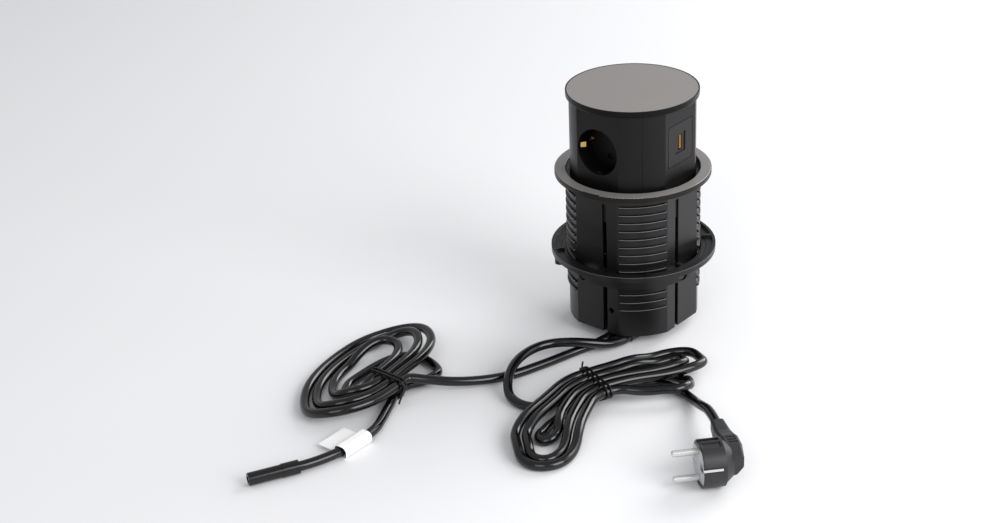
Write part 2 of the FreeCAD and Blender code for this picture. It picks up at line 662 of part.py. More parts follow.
def make_nut():
    """Lock nut: rim, webbed plate with radial ribs, hub with funnel notches, thread lugs and two grips."""
    rim_bottom = nut_height - nut_rim_height
    plate_top = rim_bottom + 0.6
    hub_bottom = nut_height - nut_hub_drop
    ring_seat = plate_top - nut_plate_thickness
    rim = ring(nut_radius - nut_rim_width, nut_radius, rim_bottom, nut_height)
    plate = ring(guide_ring_outer + ring_play + 1.2, nut_radius, ring_seat, plate_top)
    wall_inner = guide_ring_outer + ring_play
    wall = ring(wall_inner, wall_inner + 1.6, ring_seat - 1.6, plate_top)
    hub = ring(nut_inner_radius, nut_hub_radius, hub_bottom, ring_seat)
    floor = ring(nut_inner_radius, guide_ring_outer + ring_play + 1.6, ring_seat - 1.6, ring_seat)
    parts = [rim, plate, wall, hub, floor]
    half = nut_rib_width / 2
    rib_top = nut_height - 0.3
    rib = box((-half, -nut_radius + 1, ring_seat), (half, -guide_ring_outer - 1, rib_top))
    tab = box((-half, -guide_ring_outer - 2, plate_top), (half, -guide_ring_outer + nut_tab_reach, rib_top))
    rib = rib.fuse(tab).removeSplitter()
    for corner in corner_angles:
        parts.append(turned(rib, corner + nut_rib_offset))
    for corner in corner_angles[3], corner_angles[1]:
        grip_bottom = rim_bottom - nut_grip_drop
        place = Vector(0, -nut_radius + nut_grip_radius + 0.2, grip_bottom)
        grip = Part.makeCylinder(nut_grip_radius, ring_seat - grip_bottom, place)
        web = box((-1.2, -nut_radius + 2, grip_bottom), (1.2, -nut_hub_radius + 0.5, ring_seat))
        parts.append(turned(grip, corner + 45 + nut_grip_angle))
        parts.append(turned(web, corner + 45 + nut_grip_angle))
    body = fused(parts)
    for face in (0, 90, 180, 270):
        top = ring_seat - 2.4
        low = top - nut_notch_height
        mouth = slot_width / 2
        points = [Vector(-nut_notch_left, 0, top), Vector(nut_notch_right, 0, top)]
        points += [Vector(nut_notch_right, 0, top - nut_notch_side), Vector(mouth, 0, low)]
        points += [Vector(-mouth, 0, low)]
        wedge = Part.Face(Part.makePolygon(points + points[:1])).extrude(Vector(0, -nut_radius, 0))
        body = body.cut(turned(wedge, face + nut_notch_angle))
    lug_inner = sleeve_radius + nut_lug_clearance
    lug_outer = nut_inner_radius + 0.3
    for corner in corner_angles:
        level = nut_lug_level + thread_pitch * (corner - corner_angles[0]) / 360.0
        lug = ring(lug_inner, lug_outer, level - nut_lug_height / 2, level + nut_lug_height / 2)
        half = sleeve_radius * math.sin(math.radians(nut_lug_half_angle))
        keep = box((-half, -nut_radius, level - nut_lug_height), (half, 0, level + nut_lug_height))
        body = body.fuse(turned(lug.common(keep), corner))
    return body.removeSplitter()


def make_guide_ring():
    """Ring that keeps the nut level: four keys hold it in the sleeve's slots, the nut turns round it."""
    seat = nut_height - nut_rim_height + 0.6 - nut_plate_thickness
    low = seat + 0.05
    body = ring(guide_ring_inner, guide_ring_outer, low, low + guide_ring_height)
    half = key_width / 2
    for angle in slot_angles:
        face = 90.0 * round(angle / 90.0)
        offset = bore_flat * math.tan(math.radians(angle - face))
        high = low + guide_ring_height
        key = box((offset - half, -guide_ring_inner - 1, low), (offset + half, -ring_key_face, high))
        body = body.fuse(turned(key, face))
    return body.removeSplitter()


def make_inner_leads():
    """Ends of both leads inside the plinth, under the clamp."""
    stubs = []
    for x in (mains_gland_x, output_gland_x):
        stubs.append(along_y(cord_diameter / 2, plinth_front - plinth_wall - 1.5, 1.0, x, gland_height))
    return group(stubs)


def make_socket_cup():
    """Recess of one socket, with pin holes, two key ribs, slots for the earth clip and a shutter pivot."""
    z = socket_height
    front = head_flat - head_wall
    cup = along_y(recess_radius + cup_wall, front, cup_back, 0, z)
    cup = cup.cut(along_y(recess_radius, front + 1, recess_floor, 0, z))
    cup = cup.common(flatted(head_radius - head_wall - 0.05, front, z - 40, z + 40))
    half = key_rib_width / 2
    for side in (-1, 1):
        far = side * (recess_radius + cup_wall / 2)
        near = side * (recess_radius - key_rib_depth)
        rib = box((-half, -front, z + min(near, far)), (half, -cup_back, z + max(near, far)))
        cup = cup.fuse(rib)
        pin_height = z + side * pin_spacing / 2
        cup = cup.cut(along_y(pin_hole_radius, recess_floor + 1, cup_back - 1, 0, pin_height))
    for side in (-1, 1):
        inner = side * (recess_radius - 2.4)
        outer = side * (recess_radius + cup_wall + 1)
        low = z - earth_strip_width / 2 - 0.3
        high = low + earth_strip_width + 0.6
        slot = box((min(inner, outer), 1.2 - front, low), (max(inner, outer), 1 - cup_back, high))
        cup = cup.cut(slot)
    pivot = along_y(shutter_pivot_radius, cup_back, shutter_back + 0.05, 0, z)
    posts = []
    for x, high in post_places:
        posts.append(along_y(post_radius, cup_back, block_front, x, z + high))
    return cup.multiFuse([pivot] + posts).removeSplitter()


def make_shutter():
    """Bow-tie rotor behind the recess floor that covers both pin holes until it is turned."""
    z = socket_height
    hub = along_y(shutter_inner_radius, shutter_front, shutter_back, 0, z)
    blade = along_y(shutter_outer_radius, shutter_front, shutter_back, 0, z)
    reach = shutter_outer_radius + 2
    spread = reach * math.tan(math.radians(shutter_half_angle))
    face = -shutter_front
    points = [Vector(0, face, z), Vector(spread, face, z + reach), Vector(-spread, face, z + reach)]
    wedge = Part.Face(Part.makePolygon(points + points[:1])).extrude(Vector(0, shutter_thickness, 0))
    lower = wedge.copy()
    lower.rotate(Vector(0, 0, z), Vector(0, 1, 0), 180)
    blades = blade.common(wedge.fuse(lower))
    hole = along_y(shutter_pivot_radius + pivot_clearance, shutter_front + 1, shutter_back - 1, 0, z)
    return hub.fuse(blades).removeSplitter().cut(hole)


def make_contact_block():
    """Plastic block behind a recess that holds the two live contacts."""
    z = socket_height
    half = block_half_width
    body = box((-half, -block_front, z - block_half_height), (half, -block_rear, z + block_half_height))
    flange = along_y(block_flange_radius, block_front, block_front - block_flange, 0, z)
    body = body.fuse(flange).removeSplitter()
    for side in (-1, 1):
        height = z + side * pin_spacing / 2
        bore = contact_outer_radius + contact_clearance
        body = body.cut(along_y(bore, block_front + 1, contact_rear, 0, height))
        body = body.cut(arm_slot(height))
    body = body.cut(arm_slot(z))
    for x, high in post_places:
        behind = block_front - block_flange - 1
        body = body.cut(along_y(screw_radius + 0.1, block_front + 1, behind, x, z + high))
    return body


def arm_slot(height):
    """Slot through a contact block for one arm of a supply spider."""
    half = spider_arm_width / 2 + 0.15
    thick = spider_thickness / 2 + 0.15
    return box((-half, -block_front - 1, height - thick), (half, -block_rear + 1, height + thick))


def make_contacts():
    """Two brass tubes that grip a plug's pins, closed at the rear."""
    tubes = []
    for side in (-1, 1):
        height = socket_height + side * pin_spacing / 2
        tube = along_y(contact_outer_radius, contact_front, contact_rear, 0, height)
        bore = along_y(pin_radius + 0.05, contact_front + 1, contact_rear + 1.0, 0, height)
        slit = box((-0.4, -contact_front - 1, height - 5), (0.4, -contact_rear - 4, height + 5))
        tubes.append(tube.cut(bore).cut(slit))
    return group(tubes)


def make_earth_clip():
    """Brass strap across the back of a cup with a sprung arm on each side of the recess."""
    z = socket_height
    half = earth_strip_width / 2
    outer = recess_radius + cup_wall + earth_strip_thickness
    strap = box((-outer, -strip_front, z - half), (outer, -block_front, z + half))
    parts = [strap]
    tip = head_flat - head_wall - 2.4
    knee = recess_floor + 5.0
    nose = recess_floor + 9.5
    for side in (-1, 1):
        base = outer - earth_strip_thickness
        bent = recess_radius - earth_bump
        centre = [(base, block_front), (base, knee), (bent, nose), (base - 0.6, tip)]
        rim = [(x + earth_strip_thickness, y) for x, y in reversed(centre)]
        points = [Vector(side * x, -y, z - half) for x, y in centre + rim]
        arm = Part.Face(Part.makePolygon(points + points[:1])).extrude(Vector(0, 0, earth_strip_width))
        parts.append(arm)
    middle = flatted(head_radius - head_wall - 0.3, head_flat, z - earth_strip_width, z + earth_strip_width)
    return fused(parts).common(middle)


def make_socket_screws():
    """Four screws behind each contact block."""
    screws = []
    for _, angle in socket_faces:
        for x, high in post_places:
            seat = block_front - block_flange
            head = along_y(2.2, seat, seat - 1.4, x, socket_height + high)
            shank = along_y(screw_radius, block_front, seat, x, socket_height + high)
            screws.append(turned(head.fuse(shank).removeSplitter(), angle))
    return group(screws)


def make_spider(height, reach, usb_arm):
    """Brass plate with an arm to each socket, and one to the USB board where it is wanted."""
    low = height - spider_thickness / 2
    high = height + spider_thickness / 2
    half = spider_arm_width / 2
    parts = [cylinder(spider_hub_radius, low, high)]
    for _, angle in socket_faces:
        parts.append(turned(box((-half, -reach, low), (half, 0, high)), angle))
    if usb_arm:
        parts.append(turned(box((-half, -board_face, low), (half, 0, high)), 90.0))
    return fused(parts)


def make_risers():
    """Three conductors from the head's base to the supply spiders."""
    wires = []
    base = head_bottom + head_base_thickness + 6
    for place, top in zip((30.0, 150.0, 270.0), riser_tops):
        angle = math.radians(place)
        centre = Vector(riser_circle * math.cos(angle), riser_circle * math.sin(angle), base)
        wires.append(Part.makeCylinder(riser_radius, top - spider_thickness / 2 - base, centre))
    return group(wires)


def drill_spider(spider, height, passes):
    """Opens the hub for the conductors that go on to a higher spider."""
    for place in passes:
        angle = math.radians(place)
        centre = Vector(riser_circle * math.cos(angle), riser_circle * math.sin(angle), height - 2)
        spider = spider.cut(Part.makeCylinder(riser_radius + 0.4, 4, centre))
    return spider


def make_usb_plate():
    """Plate flush with the fourth flat, with a shallow bezel round the port."""
    plate = usb_window(0.0, head_flat, head_flat - usb_plate_thickness)
    half = usb_bezel_width / 2
    high = usb_bezel_height / 2
    z = usb_height
    bezel = box((-half, -head_flat - 1, z - high), (half, -head_flat + usb_bezel_depth, z + high))
    port = usb_port_block(0.15, head_flat + 1, head_flat - head_wall - 3)
    flange_side = usb_window(1.6, head_flat - head_wall, head_flat - head_wall - 1.6)
    plate = plate.fuse(usb_window(0.0, head_flat - usb_plate_thickness, head_flat - head_wall))
    return plate.fuse(flange_side).removeSplitter().cut(bezel).cut(port)


def usb_port_block(extra, near, far):
    half = usb_shell_width / 2 + extra
    high = usb_shell_height / 2 + extra
    return box((-half, -near, usb_height - high), (half, -far, usb_height + high))


def make_usb_shell():
    near = head_flat - usb_bezel_depth
    outer = usb_port_block(0.0, near, near - usb_shell_length)
    return outer.cut(usb_port_block(-usb_shell_wall, near + 1, near - usb_shell_length + usb_shell_wall))


def make_usb_tongue():
    """Tongue of the port, standing on the shell's back beside the middle."""
    near = head_flat - usb_bezel_depth
    root = near - usb_shell_length + usb_shell_wall
    half = usb_tongue_height / 2
    z = usb_height
    x = tongue_offset
    tongue = box((x, -root - usb_tongue_length, z - half), (x + usb_tongue_width, -root, z + half))
    foot = usb_port_block(-usb_shell_wall, root + 2.2, root)
    return tongue.fuse(foot).removeSplitter()


def make_usb_contacts():
    near = head_flat - usb_bezel_depth
    root = near - usb_shell_length + usb_shell_wall
    strips = []
    for place in (-3.5, -1.0, 1.0, 3.5):
        z = usb_height + place
        front = -root - usb_tongue_length + 0.6
        strips.append(box((tongue_offset - 0.15, front, z - 0.5), (tongue_offset, -root - 2.2, z + 0.5)))
    return group(strips)


def make_usb_board():
    half = board_width / 2
    z = usb_height
    rear = -board_face - board_thickness
    return box((-half, rear, z - board_height / 2), (half, -board_face, z + board_height / 2))


def make_board_parts():
    """Transformer, two capacitors and a chip on the USB charger's board."""
    face = board_face + board_thickness
    z = usb_height
    parts = [box((-12, -face - 8, z - 14), (-4.2, -face, z - 2))]
    for x, high in ((-8.5, 5.0), (-8.5, 12.5)):
        parts.append(along_y(3.2, face + 8, face, x, z + high))
    parts.append(box((5, -face - 1.2, z - 4), (11, -face, z + 4)))
    return group(parts)


def arc_between(start, tangent, end):
    """An edge that leaves start along tangent and reaches end: an arc, or a line where they agree."""
    chord = end - start
    reach = chord.Length
    along = chord * (1.0 / reach)
    across = tangent - along * tangent.dot(along)
    if across.Length < 1e-5:
        return Part.makeLine(start, end), 1e9
    half_turn = math.atan2(across.Length, tangent.dot(along))
    bulge = reach / 2 * math.tan(half_turn / 2)
    middle = (start + end) * 0.5 + across * (bulge / across.Length)
    return Part.Arc(start, middle, end).toShape(), reach / (2 * math.sin(half_turn))


def rounded_route(points, label):
    """Straight runs joined by tangent arcs, each as large as its two runs allow."""
    edges = []
    radii = []
    at = points[0]
    for before, corner, after in zip(points, points[1:], points[2:]):
        incoming = corner - before
        outgoing = after - corner
        shorter = min(incoming.Length, outgoing.Length)
        into = incoming * (1.0 / incoming.Length)
        out = outgoing * (1.0 / outgoing.Length)
        begin = corner - into * (0.45 * shorter)
        end = corner + out * (0.45 * shorter)
        edges.append(Part.makeLine(at, begin))
        edge, radius = arc_between(begin, into, end)
        edges.append(edge)
        radii.append(radius)
        at = end
    edges.append(Part.makeLine(at, points[-1]))
    print(label, "radii", " ".join("%.0f" % radius for radius in radii))
    return edges


def biarcs(stations, label):
    """Pairs of tangent arcs through stations, each a place and a heading, with both ends straight."""
    edges = []
    radii = []
    first_place, first_heading = stations[0]
    edges.append(Part.makeLine(first_place - first_heading * cord_diameter, first_place))
    for (start, leaving), (end, arriving) in zip(stations, stations[1:]):
        chord = end - start
        both = leaving + arriving
        bend = 2 * (1 - leaving.dot(arriving))
        if bend < 1e-9:
            reach = chord.dot(chord) / (2 * chord.dot(both))
        else:
            reach = (math.sqrt(chord.dot(both) ** 2 + bend * chord.dot(chord)) - chord.dot(both)) / bend
        joint = (start + end + leaving * reach - arriving * reach) * 0.5
        edge, radius = arc_between(start, leaving, joint)
        edges.append(edge)
        radii.append(radius)
        middle_heading = joint - (start + leaving * reach)
        middle_heading.normalize()
        edge, radius = arc_between(joint, middle_heading, end)
        edges.append(edge)
        radii.append(radius)
    last_place, last_heading = stations[-1]
    edges.append(Part.makeLine(last_place, last_place + last_heading * cord_diameter))
    print(label, "tightest radius %.1f" % min(radii))
    return edges


def tube(edges, label):
    """A round tube of the lead's diameter along the edges, with its volume set against its length."""
    wire = Part.Wire(edges)
    start = edges[0].firstVertex().Point
    heading = edges[0].tangentAt(edges[0].FirstParameter)
    section = Part.Wire([Part.makeCircle(cord_diameter / 2, start, heading)])
    shell = Part.BRepOffsetAPI.MakePipeShell(wire)
    shell.add(section)
    shell.build()
    shell.makeSolid()
    solid = shell.shape()
    share = solid.Volume / (math.pi * cord_diameter ** 2 / 4 * wire.Length)
    print(label, "length %.0f mm, volume over section times length %.4f" % (wire.Length, share))
    return solid


def self_gap(edges, label):
    """Least gap between one turn's surface and another's, on points along the line."""
    points = []
    travelled = 0.0
    for edge in edges:
        count = max(2, int(edge.Length / gap_step))
        for step in range(count):
            parameter = edge.FirstParameter + (edge.LastParameter - edge.FirstParameter) * step / count
            points.append((edge.valueAt(parameter), travelled + edge.Length * step / count))
        travelled += edge.Length
    least = 1e9
    for number, (point, place) in enumerate(points):
        for other, other_place in points[number + 1:]:
            if other_place - place > 4 * cord_diameter:
                least = min(least, (point - other).Length)
    print(label, "least gap to itself %.2f mm" % (least - cord_diameter))


def smooth(share):
    """0 to 1 with no slope at either end."""
    share = max(0.0, min(1.0, share))
    return share * share * (3 - 2 * share)


def coil_place(turns_done):
    """A point of the loose coil: turns that all pass the tie and differ in size."""
    turn = min(int(turns_done), coil_turns - 1)
    share = turns_done - turn
    angle = 2 * math.pi * share
    lane = coil_lanes[turn] + (coil_lanes[turn + 1] - coil_lanes[turn]) * smooth(share)
    swell = math.sin(math.pi * max(0.0, (share - 0.68) / 0.32)) ** 2
    x = lane - coil_widths[turn] * (1 - math.cos(angle)) / 2 + coil_bulges[turn] * swell
    reach = coil_south[turn] if share < 0.5 else coil_north[turn]
    y = coil_tie_y - reach * math.sin(angle)
    x -= coil_lean * (y - coil_tie_y)
    return Vector(x, y, cord_rest + coil_lift(turn, share))


def coil_lift(turn, share):
    """Height of a turn over the floor: on top of the last turn beside the tie, down on the far side."""
    raised = cord_layer + tie_room
    if turn < coil_turns - 1:
        return raised * (1 - smooth((share - 0.16) / 0.18) + smooth((share - coil_rises[turn]) / 0.16))
    return raised * (1 - smooth(share / 0.2)) + tie_room * smooth((share - 0.85) / 0.15)


def heading_of(place, at):
    """Direction of travel along a formula at one value."""
    ahead = place(at + 0.001) - place(at - 0.001)
    ahead.normalize()
    return ahead


def coil_stations():
    """Places and headings eight times a turn, from just past the tie to the tie again."""
    stations = []
    for step in range(coil_turns * coil_steps + 1):
        at = max(step / float(coil_steps), coil_begin)
        near = min(at, coil_turns - 0.002)
        stations.append((coil_place(near), heading_of(coil_place, near)))
    stations.append((coil_exit, Rotation(Vector(0, 0, 1), coil_exit_angle).multVec(Vector(1, 0, 0))))
    return stations


def hank_turn(places, inset):
    """One end of a loop, moved inwards from the places given."""
    stations = []
    for x, y, angle, lift in places:
        way = Rotation(Vector(0, 0, 1), angle).multVec(Vector(1, 0, 0))
        inwards = Vector(way.y, -way.x, 0)
        stations.append((Vector(x, y, cord_rest + lift) + inwards * inset, way))
    return stations


def hank_pass(lane, southward, lift):
    """The place of one lead under the tie and its heading."""
    way = Rotation(Vector(0, 0, 1), hank_waist_angle).multVec(Vector(1, 0, 0))
    aside = Vector(way.y, -way.x, 0)
    place = hank_waist + aside * lane + Vector(0, 0, cord_rest + lift)
    return place, way * (-1 if southward else 1)


def hank_stations():
    """Three loops pinched at the waist: in along the floor, out along the floor under the last ones."""
    raised = cord_layer + tie_room
    north_turns = (hank_first_turn, hank_north_turn, hank_north_inner)
    south_turns = ((hank_south_turn, 0.0), (hank_south_turn, hank_spacing), (hank_south_inner, 0.0))
    stations = [hank_pass(hank_entry_lane, False, tie_room)]
    for loop, (places, inset) in enumerate(south_turns):
        last = loop == len(south_turns) - 1
        stations += hank_turn(north_turns[loop], 0.0)
        stations.append(hank_pass(hank_south_lanes[loop], True, raised))
        stations += hank_turn(places, inset)
        stations.append(hank_pass(hank_north_lanes[loop], False, tie_room if last else raised))
    return stations


def tie_band(corners, centre, way, width):
    """Band drawn tight round a bundle: corners are the outer leads' places, across and up."""
    aside = Vector(way.y, -way.x, 0)
    points = [centre + aside * across + Vector(0, 0, up) for across, up in corners]
    outline = Part.makePolygon(points + points[:1])
    inner = outline.makeOffset2D(cord_diameter / 2 + tie_play, 0, False, False, True)
    outer = outline.makeOffset2D(cord_diameter / 2 + tie_play + tie_thickness, 0, False, False, True)
    face = Part.Face(outer).cut(Part.Face(inner))
    return face.extrude(way * width)


def make_tie(corners, centre, way, tail_at, tail_way):
    """Wire tie: two laps and a twisted end."""
    bands = []
    for lap in (-1, 1):
        bands.append(tie_band(corners, centre + way * (lap * tie_lap), way, tie_thickness))
    link = Part.makeCylinder(tie_thickness * 0.6, 2 * tie_lap + tie_thickness, tail_at - way * tie_lap, way)
    tail = Part.makeCylinder(tie_thickness * 0.6, tie_tail, tail_at, tail_way)
    return fused(bands + [link, tail])


def in_plug(shape):
    """Puts a shape of the plug's own frame in its place on the floor."""
    copy = shape.copy()
    copy.Placement = Placement(plug_place, Rotation(Vector(0, 0, 1), plug_turn)).multiply(copy.Placement)
    return copy


def rolled(shape):
    """Leans a piece of the plug about the plug's own axis."""
    copy = shape.copy()
    copy.rotate(Vector(0, 0, 0), Vector(1, 0, 0), plug_roll)
    return copy


def rounded_section(y, outline, corner):
    """Rounded outline across the plug's outlet, as a wire of lines and arcs."""
    points = [Vector(x, y, z) for x, z in outline]
    edges = []
    for number, point in enumerate(points):
        before = points[number - 1]
        after = points[(number + 1) % len(points)]
        begin = point + (before - point).normalize() * corner
        end = point + (after - point).normalize() * corner
        half_angle_sine = (end - begin).Length / (2 * corner)
        middle = point + ((begin + end) * 0.5 - point) * (1 / (1 + half_angle_sine))
        following = after + (point - after).normalize() * corner
        edges.append(Part.Arc(begin, middle, end).toShape())
        edges.append(Part.makeLine(end, following))
    return Part.Wire(edges)


def plug_grip():
    """Shield-shaped grip behind the plug's round body, which narrows to the lead's boot."""
    sections = []
    for y, top, rear, step, low_rear, bottom, front, corner in plug_sections:
        outline = [(front, top), (rear, top), (rear, step), (low_rear, bottom), (front, bottom)]
        sections.append(rounded_section(y, outline, corner))
    grip = Part.makeLoft(sections, True, True)
    for step in range(4):
        y = 3.0 + plug_rib_pitch * step
        grip = grip.cut(box((22.5, y, plug_sections[2][1] - 1.6), (29.5, y + plug_rib_width, 20)))
    return grip


def make_plug_body():
    """Angled plug: round front body with grooves and the grip behind it."""
    body = Part.makeCylinder(plug_radius, plug_body_length, Vector(0, 0, 0), Vector(1, 0, 0))
    front = [e for e in body.Edges if e.BoundBox.XMax < 0.01 and e.BoundBox.YLength > plug_radius]
    body = body.makeFillet(1.0, front)
    rear = Vector(plug_body_length, 0, 0)
    neck = Part.makeCone(plug_radius - 1.0, plug_neck_end, plug_neck_back, rear, Vector(1, 0, 0))
    body = body.fuse([neck, plug_grip()]).removeSplitter()
    grooves = []
    groove_end = plug_body_length - 2
    for side in (-1, 1):
        low = min(side * plug_radius, side * (plug_radius - plug_groove_depth)) - 0.01
        half = plug_groove_width / 2
        grooves.append(box((-1, -half, low), (groove_end, half, low + plug_groove_depth + 0.02)))
        near = min(side * (plug_radius + 1), side * (plug_radius - 1.0))
        half = plug_strip_slot / 2
        grooves.append(box((-1, near, -half), (plug_strip_length, near + 2.0, half)))
        place = Vector(-0.5, 0, side * pin_spacing / 2)
        hole_length = plug_neck_length + 0.6
        grooves.append(Part.makeCylinder(plug_neck_radius + 0.02, hole_length, place, Vector(1, 0, 0)))
        grooves.append(plug_strip(side, 0.05))
    half = plug_groove_width / 2
    notch = box((1.5, -half, plug_radius - 1.1), (groove_end, half, plug_radius + 1))
    notch.rotate(Vector(0, 0, 0), Vector(1, 0, 0), plug_notch_turn)
    grooves.append(notch)
    return in_plug(body.cut([rolled(groove) for groove in grooves]))


def plug_strip(side, extra):
    """Earth strip on one side of the plug, with its fork on the front face."""
    outer = plug_radius + plug_metal_out
    inner = plug_radius - 1.0 - plug_strip_thickness
    half = plug_strip_width / 2 + extra
    begin = -plug_metal_out
    strip = box((begin, inner - extra, -half), (plug_strip_length - 0.5 + extra, outer, half))
    pieces = []
    for low in (-plug_fork_height / 2, plug_fork_height / 2 - plug_fork_bar):
        near = outer - 1.4 - plug_fork_length - extra
        high = low + plug_fork_bar + extra
        pieces.append(box((begin, near, low - extra), (plug_strip_thickness + extra, inner + 0.6, high)))
    half = plug_fork_height / 2 + extra
    crossbar_end = (plug_strip_thickness + extra, inner + plug_fork_bar + extra, half)
    pieces.append(box((begin, inner - extra, -half), crossbar_end))
    shape = strip.fuse(pieces).removeSplitter()
    if side < 0:
        shape.rotate(Vector(0, 0, 0), Vector(1, 0, 0), 180)
    return shape


def make_plug_pins():
    """Two round pins, each with a thinner neck that holds it in the body."""
    pins = []
    for side in (-1, 1):
        height = side * pin_spacing / 2
        tip_place = Vector(-plug_pin_length, 0, height)
        pin = Part.makeCylinder(pin_radius, plug_pin_length - plug_pin_step, tip_place, Vector(1, 0, 0))
        tip = [e for e in pin.Edges if e.BoundBox.XMax < -plug_pin_length + 0.01 and e.BoundBox.YLength > 1]
        neck_place = Vector(-plug_pin_step, 0, height)
        neck_length = plug_pin_step + plug_neck_length
        neck = Part.makeCylinder(plug_neck_radius, neck_length, neck_place, Vector(1, 0, 0))
        pins.append(pin.makeFillet(1.4, tip).fuse(neck).removeSplitter())
    return in_plug(rolled(group(pins)))


def make_coupling():
    """Round inline coupling with a thicker collar at the lead and a pin in its socket."""
    start = coupling_start
    way = coupling_direction
    collar = Part.makeCylinder(coupling_collar_radius, coupling_collar_length, start, way)
    barrel = Part.makeCylinder(coupling_radius, coupling_length, start, way)
    far = start + way * coupling_length
    rim = [e for e in barrel.Edges if (e.BoundBox.Center - far).Length < 0.5]
    barrel = barrel.makeFillet(0.8, rim)
    body = barrel.fuse(collar).removeSplitter()
    mouth = far - way * coupling_socket_depth
    body = body.cut(Part.makeCylinder(coupling_socket_radius, coupling_socket_depth + 1, mouth, way))
    contact = Part.makeCylinder(coupling_pin_radius, coupling_socket_depth - 2, mouth, way)
    return body.fuse(contact).removeSplitter()


def make_tag():
    """Paper flag folded round the output lead and stuck to itself."""
    half = tag_length / 2
    width = tag_wrap_width / 2
    outer = box((-width, -half, 0.05), (width, half, tag_wrap_height))
    long_edges = [e for e in outer.Edges if e.BoundBox.YLength > tag_length - 0.1]
    outer = outer.makeFillet(tag_wrap_height * 0.42, long_edges)
    inner_low = (-width + tag_thickness, -half - 1, 0.05 + tag_thickness)
    inner_high = (width - tag_thickness, half + 1, tag_wrap_height - tag_thickness)
    inner = box(inner_low, inner_high)
    inner_edges = [e for e in inner.Edges if e.BoundBox.YLength > tag_length - 0.1]
    inner = inner.makeFillet(tag_wrap_height * 0.42 - tag_thickness, inner_edges)
    leaf_top = tag_leaf_height + 2 * tag_thickness
    leaf = box((-width - tag_leaf, -half, tag_leaf_height), (-width + 0.3, half, leaf_top))
    tag = outer.fuse(leaf).removeSplitter().cut(inner)
    tag.Placement = Placement(tag_place, Rotation(Vector(0, 0, 1), tag_turn)).multiply(tag.Placement)
    return tag


def slack_lead_edges():
    """Open turns of lead from the terminal block to the head's foot, which follow the head up and down."""
    low = base_top + 12.0
    high = head_bottom - 26.0
    stations = [(Vector(0, 4.5, base_top + 5.5), Vector(0, -1, 0))]
    steps = slack_turns * 4 - 1
    climb = (high - low) / (steps * math.pi / 2 * slack_radius)
    for step in range(steps + 1):
        angle = math.pi / 2 * (step - 0.5)
        rise = (high - low) * step / steps
        place = Vector(slack_radius * math.cos(angle), slack_radius * math.sin(angle), low + rise)
        heading = Vector(-math.sin(angle), math.cos(angle), climb)
        heading.normalize()
        stations.append((place, heading))
    inward = Vector(-0.1, 0.88, 0.46)
    inward.normalize()
    stations.append((Vector(4.2, -14.5, head_bottom - 19.0), inward))
    stations.append((Vector(0, 0, head_bottom + 3.0 - cord_diameter), Vector(0, 0, 1)))
    return biarcs(stations, "slack lead")


def lead_in(edges, reach):
    """Last two points of a free lead that joins the start of a wound one."""
    start = edges[0].firstVertex().Point
    heading = edges[0].tangentAt(edges[0].FirstParameter)
    return [start - heading * reach, start]


def lead_out(edges, reach):
    """First two points of a free lead that leaves the end of a wound one."""
    end = edges[-1].lastVertex().Point
    heading = edges[-1].tangentAt(edges[-1].LastParameter)
    return [end, end + heading * reach]


os.makedirs("parts", exist_ok=True)

save(make_sleeve(), "outer_sleeve")
save(make_trim_ring(), "trim_ring")
save(make_seal(), "flange_seal")
save(make_base_cover(), "base_cover")
save(make_housing_screws(), "housing_screws")
save(make_gland(mains_gland_x), "mains_gland")
save(make_gland(output_gland_x), "output_gland")
save(make_cord_clamp(), "cord_clamp")
save(make_inner_leads(), "inner_leads")
save(make_terminal_block(), "terminal_block")
save(tube(slack_lead_edges(), "slack lead"), "slack_lead")

save(make_lid_rim(), "lid_rim")
save(make_lid_inlay(), "lid_inlay")
for shell, node in zip(make_head_shell(), ("head_shell_rear", "head_shell_front")):
    save(shell, node)
save(make_head_base(), "head_base_plate")
save(make_guide_keys(), "guide_keys")
save(make_friction_pads(), "friction_pads")
save(make_head_screws(), "head_screws")
socket_pieces = (("socket_cup", make_socket_cup()), ("shutter", make_shutter()),
                 ("contact_block", make_contact_block()),
                 ("contact_tubes", make_contacts()), ("earth_clip", make_earth_clip()))
for piece, shape in socket_pieces:
    for face_name, angle in socket_faces:
        save(turned(shape, angle), piece + "_" + face_name)
save(make_socket_screws(), "socket_screws")
neutral_level, earth_level, live_level = riser_tops
save(drill_spider(make_spider(live_level, contact_rear, True), live_level, ()), "live_spider")
earth_plate = make_spider(earth_level, block_front, False)
save(drill_spider(earth_plate, earth_level, riser_passes[1:]), "earth_spider")
neutral_plate = make_spider(neutral_level, contact_rear, True)
save(drill_spider(neutral_plate, neutral_level, riser_passes), "neutral_spider")
save(make_risers(), "riser_wires")
save(turned(make_usb_plate(), 90.0), "usb_face_plate")
save(turned(make_usb_shell(), 90.0), "usb_port_shell")
save(turned(make_usb_tongue(), 90.0), "usb_tongue")
save(turned(make_usb_contacts(), 90.0), "usb_contacts")
save(turned(make_usb_board(), 90.0), "usb_board")
save(turned(make_board_parts(), 90.0), "usb_board_parts")

save(make_nut(), "lock_nut")
save(make_guide_ring(), "nut_guide_ring")

